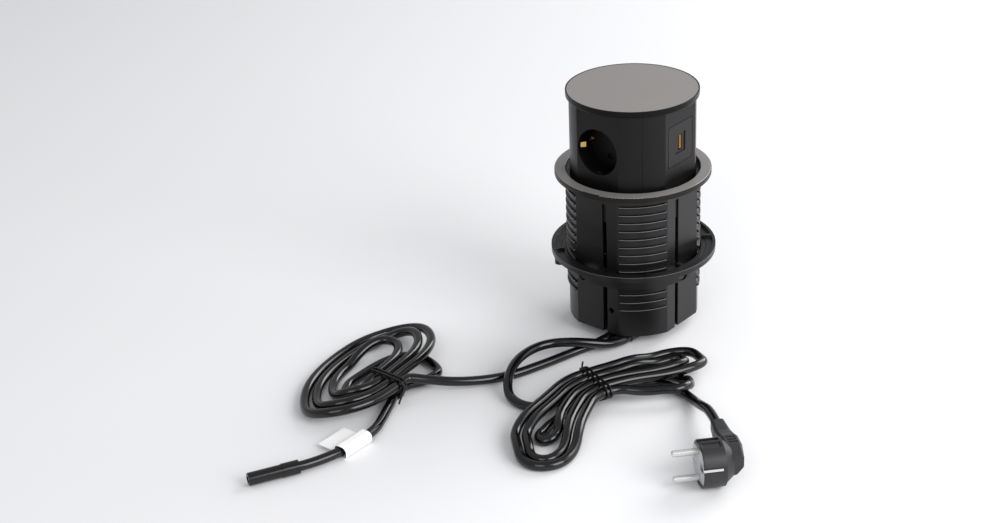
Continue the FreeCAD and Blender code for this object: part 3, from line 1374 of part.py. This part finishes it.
hank_edges = biarcs(hank_stations(), "mains hank")
coil_edges = biarcs(coil_stations(), "output coil")
self_gap(hank_edges, "mains hank")
self_gap(coil_edges, "output coil")
save(tube(hank_edges, "mains hank"), "mains_lead_hank")
save(tube(coil_edges, "output coil"), "output_lead_coil")
plug_way = Rotation(Vector(0, 0, 1), plug_turn).multVec(Vector(0, -1, 0))
plug_rotation = Rotation(Vector(0, 0, 1), plug_turn)
plug_entry = plug_place + plug_rotation.multVec(Vector(plug_rear_x, plug_outlet_end, 0))
mains_run += lead_in(hank_edges, run_join)
mains_tail = lead_out(hank_edges, run_join) + mains_tail + [plug_entry - plug_way * plug_join, plug_entry]
output_run += lead_in(coil_edges, coil_join)
output_tail = lead_out(coil_edges, run_join) + output_tail
output_tail += [coupling_start - coupling_direction * coupling_join, coupling_start]
for points, node in ((mains_run, "mains_lead_run"), (mains_tail, "mains_lead_tail"),
                     (output_run, "output_lead_run"), (output_tail, "output_lead_tail")):
    save(tube(rounded_route(points, node), node), node)
save(make_plug_body(), "plug_body")
save(make_plug_pins(), "plug_pins")
save(in_plug(rolled(group([plug_strip(side, 0.0) for side in (-1, 1)]))), "plug_earth_strips")
save(make_coupling(), "output_coupling")
save(make_tag(), "cord_tag")
hank_way = Rotation(Vector(0, 0, 1), hank_waist_angle).multVec(Vector(1, 0, 0))
save(make_tie(hank_corners, hank_waist, hank_way, hank_tail_at, hank_tail_way), "hank_tie")
save(make_tie(coil_corners, coil_tie_place, Vector(0, -1, 0), coil_tail_at, coil_tail_way), "coil_tie")
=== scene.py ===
import bpy
import json
import math
from mathutils import Matrix, Vector


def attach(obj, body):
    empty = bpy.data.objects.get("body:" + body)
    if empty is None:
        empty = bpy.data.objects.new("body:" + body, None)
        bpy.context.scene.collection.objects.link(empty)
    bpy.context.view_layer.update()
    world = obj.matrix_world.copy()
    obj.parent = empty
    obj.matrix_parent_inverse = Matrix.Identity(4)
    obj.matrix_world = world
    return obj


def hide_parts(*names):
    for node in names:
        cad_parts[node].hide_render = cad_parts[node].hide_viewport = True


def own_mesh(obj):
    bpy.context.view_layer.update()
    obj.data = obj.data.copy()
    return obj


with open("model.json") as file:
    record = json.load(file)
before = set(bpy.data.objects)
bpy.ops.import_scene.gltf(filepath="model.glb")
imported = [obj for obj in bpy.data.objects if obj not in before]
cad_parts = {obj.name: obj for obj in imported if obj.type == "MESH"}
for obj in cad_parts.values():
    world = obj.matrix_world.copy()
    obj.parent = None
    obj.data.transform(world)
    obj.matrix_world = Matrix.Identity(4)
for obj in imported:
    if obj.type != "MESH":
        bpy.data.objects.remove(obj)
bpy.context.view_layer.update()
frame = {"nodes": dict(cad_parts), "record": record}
nodes = frame["nodes"]
scene = bpy.context.scene
print("frame loaded", len(nodes))

mm = 0.001


# colour code as seen on screen, in the renderer's linear values
def linear(code):
    parts = [int(code[i:i + 2], 16) / 255 for i in (0, 2, 4)]
    return [c / 12.92 if c <= 0.04045 else ((c + 0.055) / 1.055) ** 2.4 for c in parts] + [1.0]


# stands in front, to the right of the charging port's corner, and looks down
cameraSetup = {
    "bearing": 36.5,       # degrees round the tower, where it stands
    "distance": 1335.1,    # millimetres from the tower's axis
    "height": 727.4,       # millimetres above the floor
    "aside": 4.719,        # degrees that it looks past the axis
    "pitch": 26.787,
    "roll": -2.501,
    "lens": 65.2,
    "sensor": 36,
    "clipStart": 0.05,
}


def makeCamera():
    bearing = math.radians(cameraSetup["bearing"])
    yaw = math.radians(cameraSetup["bearing"] + cameraSetup["aside"])
    pitch, roll = math.radians(cameraSetup["pitch"]), math.radians(cameraSetup["roll"])
    distance, height = cameraSetup["distance"] * mm, cameraSetup["height"] * mm
    place = Vector((distance * math.sin(bearing), -distance * math.cos(bearing), height))
    ahead = Vector((-math.sin(yaw) * math.cos(pitch), math.cos(yaw) * math.cos(pitch), -math.sin(pitch)))
    right = Vector((math.cos(yaw), math.sin(yaw), 0))
    up = right.cross(ahead)
    tiltedRight = right * math.cos(roll) + up * math.sin(roll)
    tiltedUp = up * math.cos(roll) - right * math.sin(roll)
    turn = Matrix((tiltedRight, tiltedUp, -ahead)).transposed().to_4x4()
    data = bpy.data.cameras.new("photoCamera")
    data.lens = cameraSetup["lens"]
    data.sensor_width = cameraSetup["sensor"]
    data.clip_start = cameraSetup["clipStart"]
    camera = bpy.data.objects.new("photoCamera", data)
    camera.matrix_world = Matrix.Translation(place) @ turn
    scene.collection.objects.link(camera)
    scene.camera = camera


# what both leads share; routes are in millimetres
cordSetup = {
    "diameter": 7.5,
    "rest": 3.85,          # height of the axis where a lead lies on the floor
    "layer": 8.15,         # height between a lead and one that crosses it
    "tieRoom": 1.6,        # lift where the tie passes below
    "hold": 0.27,          # how far a heading is held, as a share of the way to the next place
    "joins": (7.5, 19.5),  # straight bits where a bundle begins and ends
    "roundness": 6,
    "fineness": 8,
}


def heading(angle):
    return Vector((math.cos(math.radians(angle)), math.sin(math.radians(angle)), 0))


# control points that carry a smooth line through places with given headings
def throughStations(stations):
    points = []
    for (start, leaving), (end, arriving) in zip(stations, stations[1:]):
        reach = cordSetup["hold"] * (end - start).length
        points += [start + leaving * reach, end - arriving * reach]
    return points


# 0 before the start, 1 after the ramp, smooth between
def ramp(share, start=0.0, over=1.0):
    done = max(0.0, min(1.0, (share - start) / over))
    return done * done * (3 - 2 * done)


# loose coil of the output lead, one value for each turn
coilSetup = {
    "tieY": -216.0,
    "turns": 4,
    "steps": 8,                                     # places in a turn
    "begin": 0.02,                                  # turns left off at the start
    "endShort": 0.002,                              # turns left off at the end
    "lanes": (-66.0, -74.2, -82.4, -90.6, -69.0),   # x at the tie
    "widths": (75.0, 58.2, 40.8, 31.0),
    "nearReach": (65.0, 52.5, 34.0, 24.0),
    "farReach": (80.0, 69.0, 46.0, 52.0),
    "bulges": (10.0, 7.0, 3.5, 20.0),               # swing to the right before the tie
    "bulgeRamp": (0.68, 0.32),                      # start and length, as shares of the turn
    "lean": 0.18,                                   # sideways for each millimetre away from the tie
    "sinkRamp": (0.16, 0.18),
    "rises": (0.66, 0.64, 0.5),                     # where a turn climbs over the others again
    "riseLength": 0.16,
    "lastSinkRamp": (0.0, 0.2),
    "lastRiseRamp": (0.85, 0.15),
    "leavesAt": (-61.5, -233.0),
    "leavesTowards": -63.0,
}


def coilPlace(turnsDone):
    turn = min(int(turnsDone), coilSetup["turns"] - 1)
    share = turnsDone - turn
    angle = 2 * math.pi * share
    lane, nextLane = coilSetup["lanes"][turn:turn + 2]
    bulgeStart, bulgeLength = coilSetup["bulgeRamp"]
    swell = math.sin(math.pi * max(0.0, (share - bulgeStart) / bulgeLength)) ** 2
    x = lane + (nextLane - lane) * ramp(share) - coilSetup["widths"][turn] * (1 - math.cos(angle)) / 2
    x += coilSetup["bulges"][turn] * swell
    reach = coilSetup["nearReach" if share < 0.5 else "farReach"][turn]
    y = coilSetup["tieY"] - reach * math.sin(angle)
    raised = cordSetup["layer"] + cordSetup["tieRoom"]
    if turn < coilSetup["turns"] - 1:
        risen = ramp(share, coilSetup["rises"][turn], coilSetup["riseLength"])
        lift = raised * (1 - ramp(share, *coilSetup["sinkRamp"]) + risen)
    else:
        lift = raised * (1 - ramp(share, *coilSetup["lastSinkRamp"]))
        lift += cordSetup["tieRoom"] * ramp(share, *coilSetup["lastRiseRamp"])
    return Vector((x - coilSetup["lean"] * (y - coilSetup["tieY"]), y, cordSetup["rest"] + lift))


def coilStations():
    turns, steps, nudge = coilSetup["turns"], coilSetup["steps"], 0.001
    stations = []
    for step in range(turns * steps + 1):
        at = min(max(step / steps, coilSetup["begin"]), turns - coilSetup["endShort"])
        way = (coilPlace(at + nudge) - coilPlace(at - nudge)).normalized()
        stations.append((coilPlace(at), way))
    leavesAt = Vector((*coilSetup["leavesAt"], cordSetup["rest"]))
    stations.append((leavesAt, heading(coilSetup["leavesTowards"])))
    return stations


# hank of the mains lead, tied at its waist; loops are rows of x, y, heading and lift
hankSetup = {
    "waist": (55.5, -125.0, 0),
    "angle": 68.0,
    "farFirst": ((65.2, -85.5, 66, 0), (79.5, -69.5, 32, 0), (95.5, -67.5, -8, 0),
                 (107.5, -73.5, -45, 4), (112, -87, -100, 8.15), (98, -104, -132, 8.15)),
    "far": ((51.5, -86, 70, 8.15), (64.5, -50, 66, 3), (88.5, -37, -22, 5), (102.2, -53, -109, 8.15)),
    "farInner": ((59.4, -88.9, 70, 8.15), (72.4, -57, 66, 3), (83.5, -49.5, -20, 5),
                 (89.8, -58.6, -111, 8.15)),
    "near": ((77, -168, -66, 8.15), (94.3, -210, -82, 0), (76.5, -231.7, -180, 0),
             (52.7, -217.8, -222, 3), (38.8, -182, -265, 8.15)),
    "nearInner": ((60.8, -175, -66, 8.15), (70.2, -193.5, -82, 2), (64.5, -202, -180, 0),
                  (57.3, -194, -268, 0), (55.5, -180, -268, 0)),
    "startLane": -4.1,
    # far loop, lane to the front, near loop and its inset, lane to the back
    "rounds": (("farFirst", 16.3, "near", 0, -16.3),
               ("far", 8.15, "near", 8.4, -8.15),
               ("farInner", 0, "nearInner", 0, 4.1)),
}


def hankLoop(loop, inset=0):
    stations = []
    for x, y, angle, lift in hankSetup[loop]:
        way = heading(angle)
        stations.append((Vector((x + way.y * inset, y - way.x * inset, cordSetup["rest"] + lift)), way))
    return stations


def hankPass(lane, toFront, lift):
    way = heading(hankSetup["angle"])
    place = Vector(hankSetup["waist"]) + Vector((way.y, -way.x, 0)) * lane
    place += Vector((0, 0, cordSetup["rest"] + lift))
    return place, -way if toFront else way


def hankStations():
    tieRoom = cordSetup["tieRoom"]
    raised = cordSetup["layer"] + tieRoom
    stations = [hankPass(hankSetup["startLane"], False, tieRoom)]
    for far, frontLane, near, inset, backLane in hankSetup["rounds"]:
        stations += hankLoop(far)
        stations.append(hankPass(frontLane, True, raised))
        stations += hankLoop(near, inset)
        stations.append(hankPass(backLane, False, raised))
    return stations[:-1] + [hankPass(backLane, False, tieRoom)]   # the last strand lies low


# where the plug lies, and where the lead enters it in the plug's own frame
plugSetup = {
    "place": (186.2, -176.2, 17.5),
    "turn": 48.4,
    "lean": -14.1,
    "leadNears": (26, 68, 0),
    "leadEnters": (26, 48, 0),
}
plugPlace, plugTurn = Vector(plugSetup["place"]), math.radians(plugSetup["turn"])


def inPlug(x, y, z):
    c, s = math.cos(plugTurn), math.sin(plugTurn)
    return plugPlace + Vector((c * x - s * y, s * x + c * y, z))


mainsLead = {
    "run": [(24, -40, 5), (24, -57, 5), (7, -80.5, 13.4), (-14, -98, 13.4), (-18.5, -123, 13.4),
            (-11, -149, 13), (1.5, -167, 5), (16.5, -172.5, 3.9), (31, -169.5, 3.9), (38.8, -156.5, 4.2)],
    "tail": [(71.5, -92, 3.9), (83, -82, 3.9), (106, -82.5, 3.9), (126, -91, 5), (139, -103.5, 13)],
    "length": 1.573,
}
outputLead = {
    "run": [(11, -40, 5), (11, -58, 5), (2, -84, 3.9), (-5, -112, 3.9), (-16, -147, 3.9),
            (-36, -180, 8), (-58, -200, 13)],
    "tail": [(-46, -264, 4.3), (-44, -282, 4.4), (-44.4, -300, 4.6), (-46.8, -315.5, 5.1)],
    "ends": (-54.6, -336.5, 5.35),
    "endWay": (-0.451, -0.892, 0),
    "endStraight": 8,
    "length": 1.391,
}


def wholeRoute(run, stations, tail):
    first, firstWay = stations[0]
    last, lastWay = stations[-1]
    short, long = cordSetup["joins"]
    points = [Vector(p) for p in run]
    points += [first - firstWay * long, first - firstWay * short] + throughStations(stations)
    points += [last + lastWay * short, last + lastWay * long]
    return points + [Vector(p) for p in tail]


def tubeAlong(name, points, material):
    data = bpy.data.curves.new(name, "CURVE")
    data.dimensions = "3D"
    data.resolution_u = cordSetup["fineness"]
    spline = data.splines.new("NURBS")
    spline.points.add(len(points) - 1)
    for target, point in zip(spline.points, points):
        target.co = (*(point * mm), 1)
    spline.order_u = 3
    spline.use_endpoint_u = True
    data.bevel_depth = cordSetup["diameter"] * mm / 2
    data.bevel_resolution = cordSetup["roundness"]
    data.use_fill_caps = True
    data.materials.append(material)
    tube = bpy.data.objects.new(name, data)
    scene.collection.objects.link(tube)
    return tube


def makeCord(name, points, replaced):
    lead = tubeAlong(name, points, materials["cordPvc"])
    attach(lead, "housing")
    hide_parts(*replaced)


def addNode(tree, kind, place=(0, 0), inputs=None, **settings):
    node = tree.nodes.new(kind)
    node.location = place
    for key, value in settings.items():
        setattr(node, key, value)
    for key, value in (inputs or {}).items():
        if isinstance(value, bpy.types.NodeSocket):
            tree.links.new(value, node.inputs[key])
        else:
            node.inputs[key].default_value = value
    return node


def calculate(tree, place, operation, *values, clamp=False):
    node = addNode(tree, "ShaderNodeMath", place, dict(enumerate(values)),
                   operation=operation, use_clamp=clamp)
    return node.outputs[0]


# sockets 6 and 7 are the mix node's two colours, 2 is its result
def layOver(tree, place, factor, below, code):
    mix = addNode(tree, "ShaderNodeMix", place, {"Factor": factor, 6: below, 7: linear(code)},
                  data_type="RGBA")
    return mix.outputs[2]


# what every surface shares, lengths in metres
surfaceSetup = {
    "cloudScale": 28.0,
    "cloudDetail": 3.0,
    "cloudRange": (0.3, 0.7),
    "fineDetail": 2.0,
    "shadedSideBelow": 0.75,       # steeper faces than this take the painted shade colour
    # bevel radius and normal-rise range of the painted edge highlight
    "highlightRadius": 0.0009,
    "highlightRange": (0.04, 0.3),
}


# painted highlight mask: 1 along the upper outward edges beyond a radius, 0 elsewhere
def paintedEdgeHighlight(tree, coords, flatHeight, edgeFrom):
    highlightFrom, highlightTo = surfaceSetup["highlightRange"]
    highlightBevel = addNode(tree, "ShaderNodeBevel", (-1000, -800), {"Radius": surfaceSetup["highlightRadius"]}, samples=6)
    highlightHeight = addNode(tree, "ShaderNodeSeparateXYZ", (-800, -800), {"Vector": highlightBevel.outputs["Normal"]})
    rise = calculate(tree, (-600, -800), "SUBTRACT", highlightHeight.outputs["Z"], flatHeight)
    line = addNode(tree, "ShaderNodeMapRange", (-400, -800),
                   {"Value": rise, "From Min": highlightFrom, "From Max": highlightTo})
    level = addNode(tree, "ShaderNodeVectorMath", (-1000, -1000),
                    {0: coords.outputs["Object"], 1: (1, 1, 0)}, operation="MULTIPLY")
    reach = addNode(tree, "ShaderNodeVectorMath", (-800, -1000), {0: level.outputs["Vector"]},
                    operation="LENGTH")
    outer = calculate(tree, (-600, -1000), "GREATER_THAN", reach.outputs["Value"], edgeFrom)
    return calculate(tree, (-250, -900), "MULTIPLY", line.outputs["Result"], outer)


# fine grain, cloudy roughness, slight colour drift and soft edges; optionally a painted highlight along
# upper outward edges and painted shade on steep faces
def surface(name, code, rough, roughSpread, grain=900.0, bump=0.05, bumpDepth=0.0002, drift=0.12,
            metallic=0.0, specular=0.35, edge=0.0, edgeHighlightCode="", edgeFrom=0.0, shadedSideCode=""):
    material = bpy.data.materials.new(name)
    material.use_nodes = True
    tree = material.node_tree
    shader = tree.nodes["Principled BSDF"]
    coords = addNode(tree, "ShaderNodeTexCoord", (-1200, 0))
    cloud = addNode(tree, "ShaderNodeTexNoise", (-800, 200),
                    {"Vector": coords.outputs["Object"], "Scale": surfaceSetup["cloudScale"],
                     "Detail": surfaceSetup["cloudDetail"]})
    fine = addNode(tree, "ShaderNodeTexNoise", (-800, -200),
                   {"Vector": coords.outputs["Object"], "Scale": grain,
                    "Detail": surfaceSetup["fineDetail"]})
    cloudFrom, cloudTo = surfaceSetup["cloudRange"]
    roughness = addNode(tree, "ShaderNodeMapRange", (-500, 0),
                        {"Value": cloud.outputs["Fac"], "From Min": cloudFrom, "From Max": cloudTo,
                         "To Min": rough - roughSpread, "To Max": rough + roughSpread})
    base = linear(code)[:3]
    colour = addNode(tree, "ShaderNodeMix", (-500, 300),
                     {"Factor": cloud.outputs["Fac"], 6: [c * (1 - drift) for c in base] + [1],
                      7: [min(1, c * (1 + drift)) for c in base] + [1]}, data_type="RGBA")
    tone = colour.outputs[2]
    relief = addNode(tree, "ShaderNodeBump", (-300, -250),
                     {"Height": fine.outputs["Fac"], "Strength": bump, "Distance": bumpDepth})
    if edge:
        soft = addNode(tree, "ShaderNodeBevel", (-500, -400), {"Radius": edge}, samples=4)
        tree.links.new(soft.outputs["Normal"], relief.inputs["Normal"])
    if edgeHighlightCode or shadedSideCode:
        flat = addNode(tree, "ShaderNodeNewGeometry", (-1000, -600))
        axes = addNode(tree, "ShaderNodeSeparateXYZ", (-800, -600), {"Vector": flat.outputs["True Normal"]})
        flatHeight = axes.outputs["Z"]
    if shadedSideCode:
        # painted shade on the steep faces
        upright = calculate(tree, (-500, -600), "LESS_THAN", flatHeight, surfaceSetup["shadedSideBelow"])
        tone = layOver(tree, (-300, 300), upright, tone, shadedSideCode)
    if edgeHighlightCode:
        # painted highlight along the upper outward edges
        paintedHighlight = paintedEdgeHighlight(tree, coords, flatHeight, edgeFrom)
        tone = layOver(tree, (-100, 300), paintedHighlight, tone, edgeHighlightCode)
    tree.links.new(tone, shader.inputs["Base Color"])
    tree.links.new(roughness.outputs["Result"], shader.inputs["Roughness"])
    tree.links.new(relief.outputs["Normal"], shader.inputs["Normal"])
    shader.inputs["Metallic"].default_value = metallic
    shader.inputs["Specular IOR Level"].default_value = specular
    return material


# lighter grey on the plug's flat face around the pins, lengths in metres
faceSetup = {
    "code": "B2B3B6",
    "front": 0.0001,          # the lighter grey lies below this in the plug's X
    "halfWidth": 0.0122,
    "stripHalf": 0.0033,      # black beside each earth strip
    "stripFrom": -0.006,
}


def paleFaceTone(material):
    tree = material.node_tree
    shader = tree.nodes["Principled BSDF"]
    below = shader.inputs["Base Color"].links[0].from_socket
    coords = addNode(tree, "ShaderNodeTexCoord", (-1400, 900))
    local = addNode(tree, "ShaderNodeMapping", (-1200, 900),
                    {"Vector": coords.outputs["Object"], "Location": plugPlace * mm,
                     "Rotation": (math.radians(plugSetup["lean"]), 0, plugTurn)}, vector_type="TEXTURE")
    axes = addNode(tree, "ShaderNodeSeparateXYZ", (-1000, 900), {"Vector": local.outputs["Vector"]})
    x, y, z = (axes.outputs[axis] for axis in "XYZ")
    onFace = calculate(tree, (-800, 1000), "LESS_THAN", x, faceSetup["front"])
    acrossPins = calculate(tree, (-800, 800), "COMPARE", z, 0.0, faceSetup["halfWidth"])
    paleArea = calculate(tree, (-600, 900), "MULTIPLY", onFace, acrossPins)
    besideStrip = calculate(tree, (-800, 600), "COMPARE", z, 0.0, faceSetup["stripHalf"])
    outward = calculate(tree, (-800, 400), "LESS_THAN", y, faceSetup["stripFrom"])
    slot = calculate(tree, (-600, 500), "MULTIPLY", besideStrip, outward)
    clear = calculate(tree, (-400, 700), "SUBTRACT", paleArea, slot, clamp=True)
    tone = layOver(tree, (100, 300), clear, below, faceSetup["code"])
    tree.links.new(tone, shader.inputs["Base Color"])


looks = {
    # glossy black ABS, with a painted highlight along the ribs' edges
    "absSleeve": dict(code="111112", rough=0.32, roughSpread=0.05, grain=1400, bump=0.08, edge=0.0004,
                      edgeHighlightCode="8C8D90", edgeFrom=0.0536),
    # painted highlight along the nut's upper outer edges
    "absNut": dict(code="111111", rough=0.36, roughSpread=0.05, grain=1400, bump=0.08, edge=0.0004,
                   edgeHighlightCode="66676A", edgeFrom=0.062),
    # satin, gloss and matt black ABS
    "absHead": dict(code="0E0E0F", rough=0.36, roughSpread=0.05, grain=2200, bump=0.12, edge=0.0003,
                    specular=0.2),
    "absLid": dict(code="050505", rough=0.30, roughSpread=0.04, edge=0.0004, specular=0.14),
    "absRecess": dict(code="060606", rough=0.5, roughSpread=0.05, specular=0.2),
    "absShutter": dict(code="080808", rough=0.5, roughSpread=0.05, specular=0.2),
    "thermoset": dict(code="A39F96", rough=0.6, roughSpread=0.05),      # mineral-filled block
    # lacquered zinc with painted shade on its steep sides, and the lid's foil
    "trimGrey": dict(code="8A8785", rough=0.40, roughSpread=0.05, grain=1800, bump=0.06, metallic=0.3,
                     shadedSideCode="0A0A0A"),
    "inlayGrey": dict(code="8C8886", rough=0.42, roughSpread=0.03, grain=2500, bump=0.05, drift=0.03,
                      metallic=0.25),
    "sealRubber": dict(code="101010", rough=0.7, roughSpread=0.06),     # foam rubber
    "felt": dict(code="262626", rough=0.95, roughSpread=0.03, grain=700, bump=0.5, bumpDepth=0.0006),
    # soft PVC of leads and plug, and coated wire
    "cordPvc": dict(code="060607", rough=0.17, roughSpread=0.03, grain=500, bump=0.015, specular=0.5),
    "tiePvc": dict(code="0C0C0D", rough=0.35, roughSpread=0.05),
    "plugPvc": dict(code="17171A", rough=0.44, roughSpread=0.05, grain=1500, bump=0.15, edge=0.0006,
                    specular=0.6),
    # bright and satin nickel plate, tinned shell
    "nickel": dict(code="D9D8D4", rough=0.16, roughSpread=0.04, grain=300, bump=0.02, drift=0.02,
                   metallic=1.0),
    "pinNickel": dict(code="CDCDCB", rough=0.3, roughSpread=0.04, grain=300, bump=0.02, drift=0.02,
                      metallic=0.55),
    "darkNickel": dict(code="4A4A48", rough=0.35, roughSpread=0.05, metallic=1.0),
    "brass": dict(code="BFA263", rough=0.24, roughSpread=0.05, drift=0.06, metallic=1.0),
    "copper": dict(code="C98F63", rough=0.3, roughSpread=0.05, metallic=1.0),
    "zincSteel": dict(code="B9BBBD", rough=0.3, roughSpread=0.06, metallic=1.0),
    "panelGrey": dict(code="151516", rough=0.42, roughSpread=0.04, grain=2600, bump=0.15, specular=0.25),
    "orangeTongue": dict(code="8C6028", rough=0.4, roughSpread=0.04),   # nylon
    "boardGreen": dict(code="1F5A36", rough=0.45, roughSpread=0.05),    # solder mask
    "boardBlack": dict(code="202022", rough=0.5, roughSpread=0.06),     # epoxy parts
    "tagPaper": dict(code="F1F1F0", rough=0.6, roughSpread=0.05, grain=1200, bump=0.1, drift=0.02),
}
slotLooks = {
    "sleeve_plastic": "absSleeve", "head_plastic": "absHead", "shutter_plastic": "absShutter",
    "inner_plastic": "thermoset", "trim_metal": "trimGrey", "inlay_metal": "inlayGrey",
    "seal_rubber": "sealRubber", "felt": "felt", "cord_pvc": "cordPvc", "tie_plastic": "tiePvc",
    "plug_pvc": "plugPvc", "nickel": "nickel", "brass": "brass", "copper_wire": "copper",
    "steel": "zincSteel", "usb_panel": "panelGrey", "usb_orange": "orangeTongue",
    "board_green": "boardGreen", "board_parts": "boardBlack", "tag_white": "tagPaper",
}
# pieces that look unlike the rest of their slot
nodeLooks = {
    "lid_rim": "absLid", "plug_pins": "pinNickel", "lock_nut": "absNut", "nut_guide_ring": "absNut",
    "usb_port_shell": "darkNickel", "usb_contacts": "brass", "socket_cup_front": "absRecess",
    "socket_cup_left": "absRecess", "socket_cup_back": "absRecess",
}
materials = {name: surface(name, **look) for name, look in looks.items()}
paleFaceTone(materials["plugPvc"])
slotOf = {entry["node"]: entry["material_slot"] for entry in frame["record"]["subparts"]}
for name, item in nodes.items():
    item.data.materials.clear()
    item.data.materials.append(materials[nodeLooks.get(name) or slotLooks[slotOf[name]]])
print("materials", len(bpy.data.materials))

plugEnd = [inPlug(*plugSetup["leadNears"]), inPlug(*plugSetup["leadEnters"])]
mainsPoints = wholeRoute(mainsLead["run"], hankStations(), mainsLead["tail"] + plugEnd)
makeCord("mains_lead", mainsPoints,
         ("mains_lead_run", "mains_lead_hank", "mains_lead_tail"))
couplingStart = Vector(outputLead["ends"])
couplingEnd = [couplingStart - Vector(outputLead["endWay"]) * outputLead["endStraight"], couplingStart]
outputPoints = wholeRoute(outputLead["run"], coilStations(), outputLead["tail"] + couplingEnd)
makeCord("output_lead", outputPoints,
         ("output_lead_run", "output_lead_coil", "output_lead_tail"))
print("cords")


# the lead inside the sleeve, laid as one fixed coil; in the real tower the head squashes it as it goes down
slackSetup = {
    "low": 24,
    "high": 81,
    "radius": 36,
    "quarterTurns": 7,
    "foot": 13.75,
    "start": ((0, 4.5, 17.5), (0, -1, 0)),            # place and heading
    "inward": ((4.2, -14.5, 7), (-0.1, 0.88, 0.46)),  # this and the next from the top turn up
    "top": ((0, 0, 21.5), (0, 0, 1)),
    "headTravel": 67,
}


def slackStations():
    low, high, radius = slackSetup["low"], slackSetup["high"], slackSetup["radius"]
    quarters = slackSetup["quarterTurns"]
    climb = (high - low) / (quarters * math.pi / 2 * radius)
    place, way = slackSetup["start"]
    stations = [(Vector(place), Vector(way))]
    for step in range(quarters + 1):
        angle = math.pi / 2 * (step - 0.5)
        place = Vector((radius * math.cos(angle), radius * math.sin(angle),
                        low + (high - low) * step / quarters))
        stations.append((place, Vector((-math.sin(angle), math.cos(angle), climb)).normalized()))
    for place, way in (slackSetup["inward"], slackSetup["top"]):
        stations.append((Vector(place) + Vector((0, 0, high)), Vector(way).normalized()))
    return stations


def makeSlackLead():
    stations = slackStations()
    route = [stations[0][0]] + throughStations(stations) + [stations[-1][0]]
    curve = tubeAlong("slack_lead", route, materials["cordPvc"])
    lead = bpy.data.objects.new("slack_lead_soft", bpy.data.meshes.new_from_object(curve))
    bpy.data.objects.remove(curve)
    scene.collection.objects.link(lead)
    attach(lead, "housing")
    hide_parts("slack_lead")
    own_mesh(lead)


# metres and watts
studioSetup = {
    "floorSize": 12,
    "floorCode": "E4E4E6",
    "floorRough": 0.7,
    "skyCode": "F2F3F5",
    "skyStrength": 0.57,
    "aim": (0.03, -0.12, 0.05),
    # place, size and power
    "behind": ((0.3, 1.8, 1.1), 1.3, 30.7),
    "right": ((1.5, 1.3, 0.9), 1.2, 6.5),
    "rightFront": ((1.7, -0.1, 1.0), 1.2, 27.6),
    "front": ((0.8, -1.9, 1.4), 1.3, 12.6),
}


def makeStage():
    bpy.ops.mesh.primitive_plane_add(size=studioSetup["floorSize"], location=(0, 0, 0))
    floor = bpy.context.object
    floor.name = "stageFloor"
    material = bpy.data.materials.new("paleFloor")
    material.use_nodes = True
    shader = material.node_tree.nodes["Principled BSDF"]
    shader.inputs["Base Color"].default_value = linear(studioSetup["floorCode"])
    shader.inputs["Roughness"].default_value = studioSetup["floorRough"]
    floor.data.materials.append(material)
    world = bpy.data.worlds.new("studio")
    world.use_nodes = True
    background = world.node_tree.nodes["Background"]
    background.inputs["Color"].default_value = linear(studioSetup["skyCode"])
    background.inputs["Strength"].default_value = studioSetup["skyStrength"]
    scene.world = world


def softBox(name):
    place, size, power = studioSetup[name]
    data = bpy.data.lights.new(name, "AREA")
    data.energy = power
    data.size = size
    light = bpy.data.objects.new(name, data)
    light.location = place
    light.rotation_euler = (Vector(studioSetup["aim"]) - Vector(place)).to_track_quat("-Z", "Y").to_euler()
    scene.collection.objects.link(light)


makeSlackLead()
print("slack lead")
makeStage()
makeCamera()
for lightName in ("behind", "right", "rightFront", "front"):
    softBox(lightName)
scene.view_settings.view_transform = "Standard"
scene.view_settings.look = "None"
print("stage")
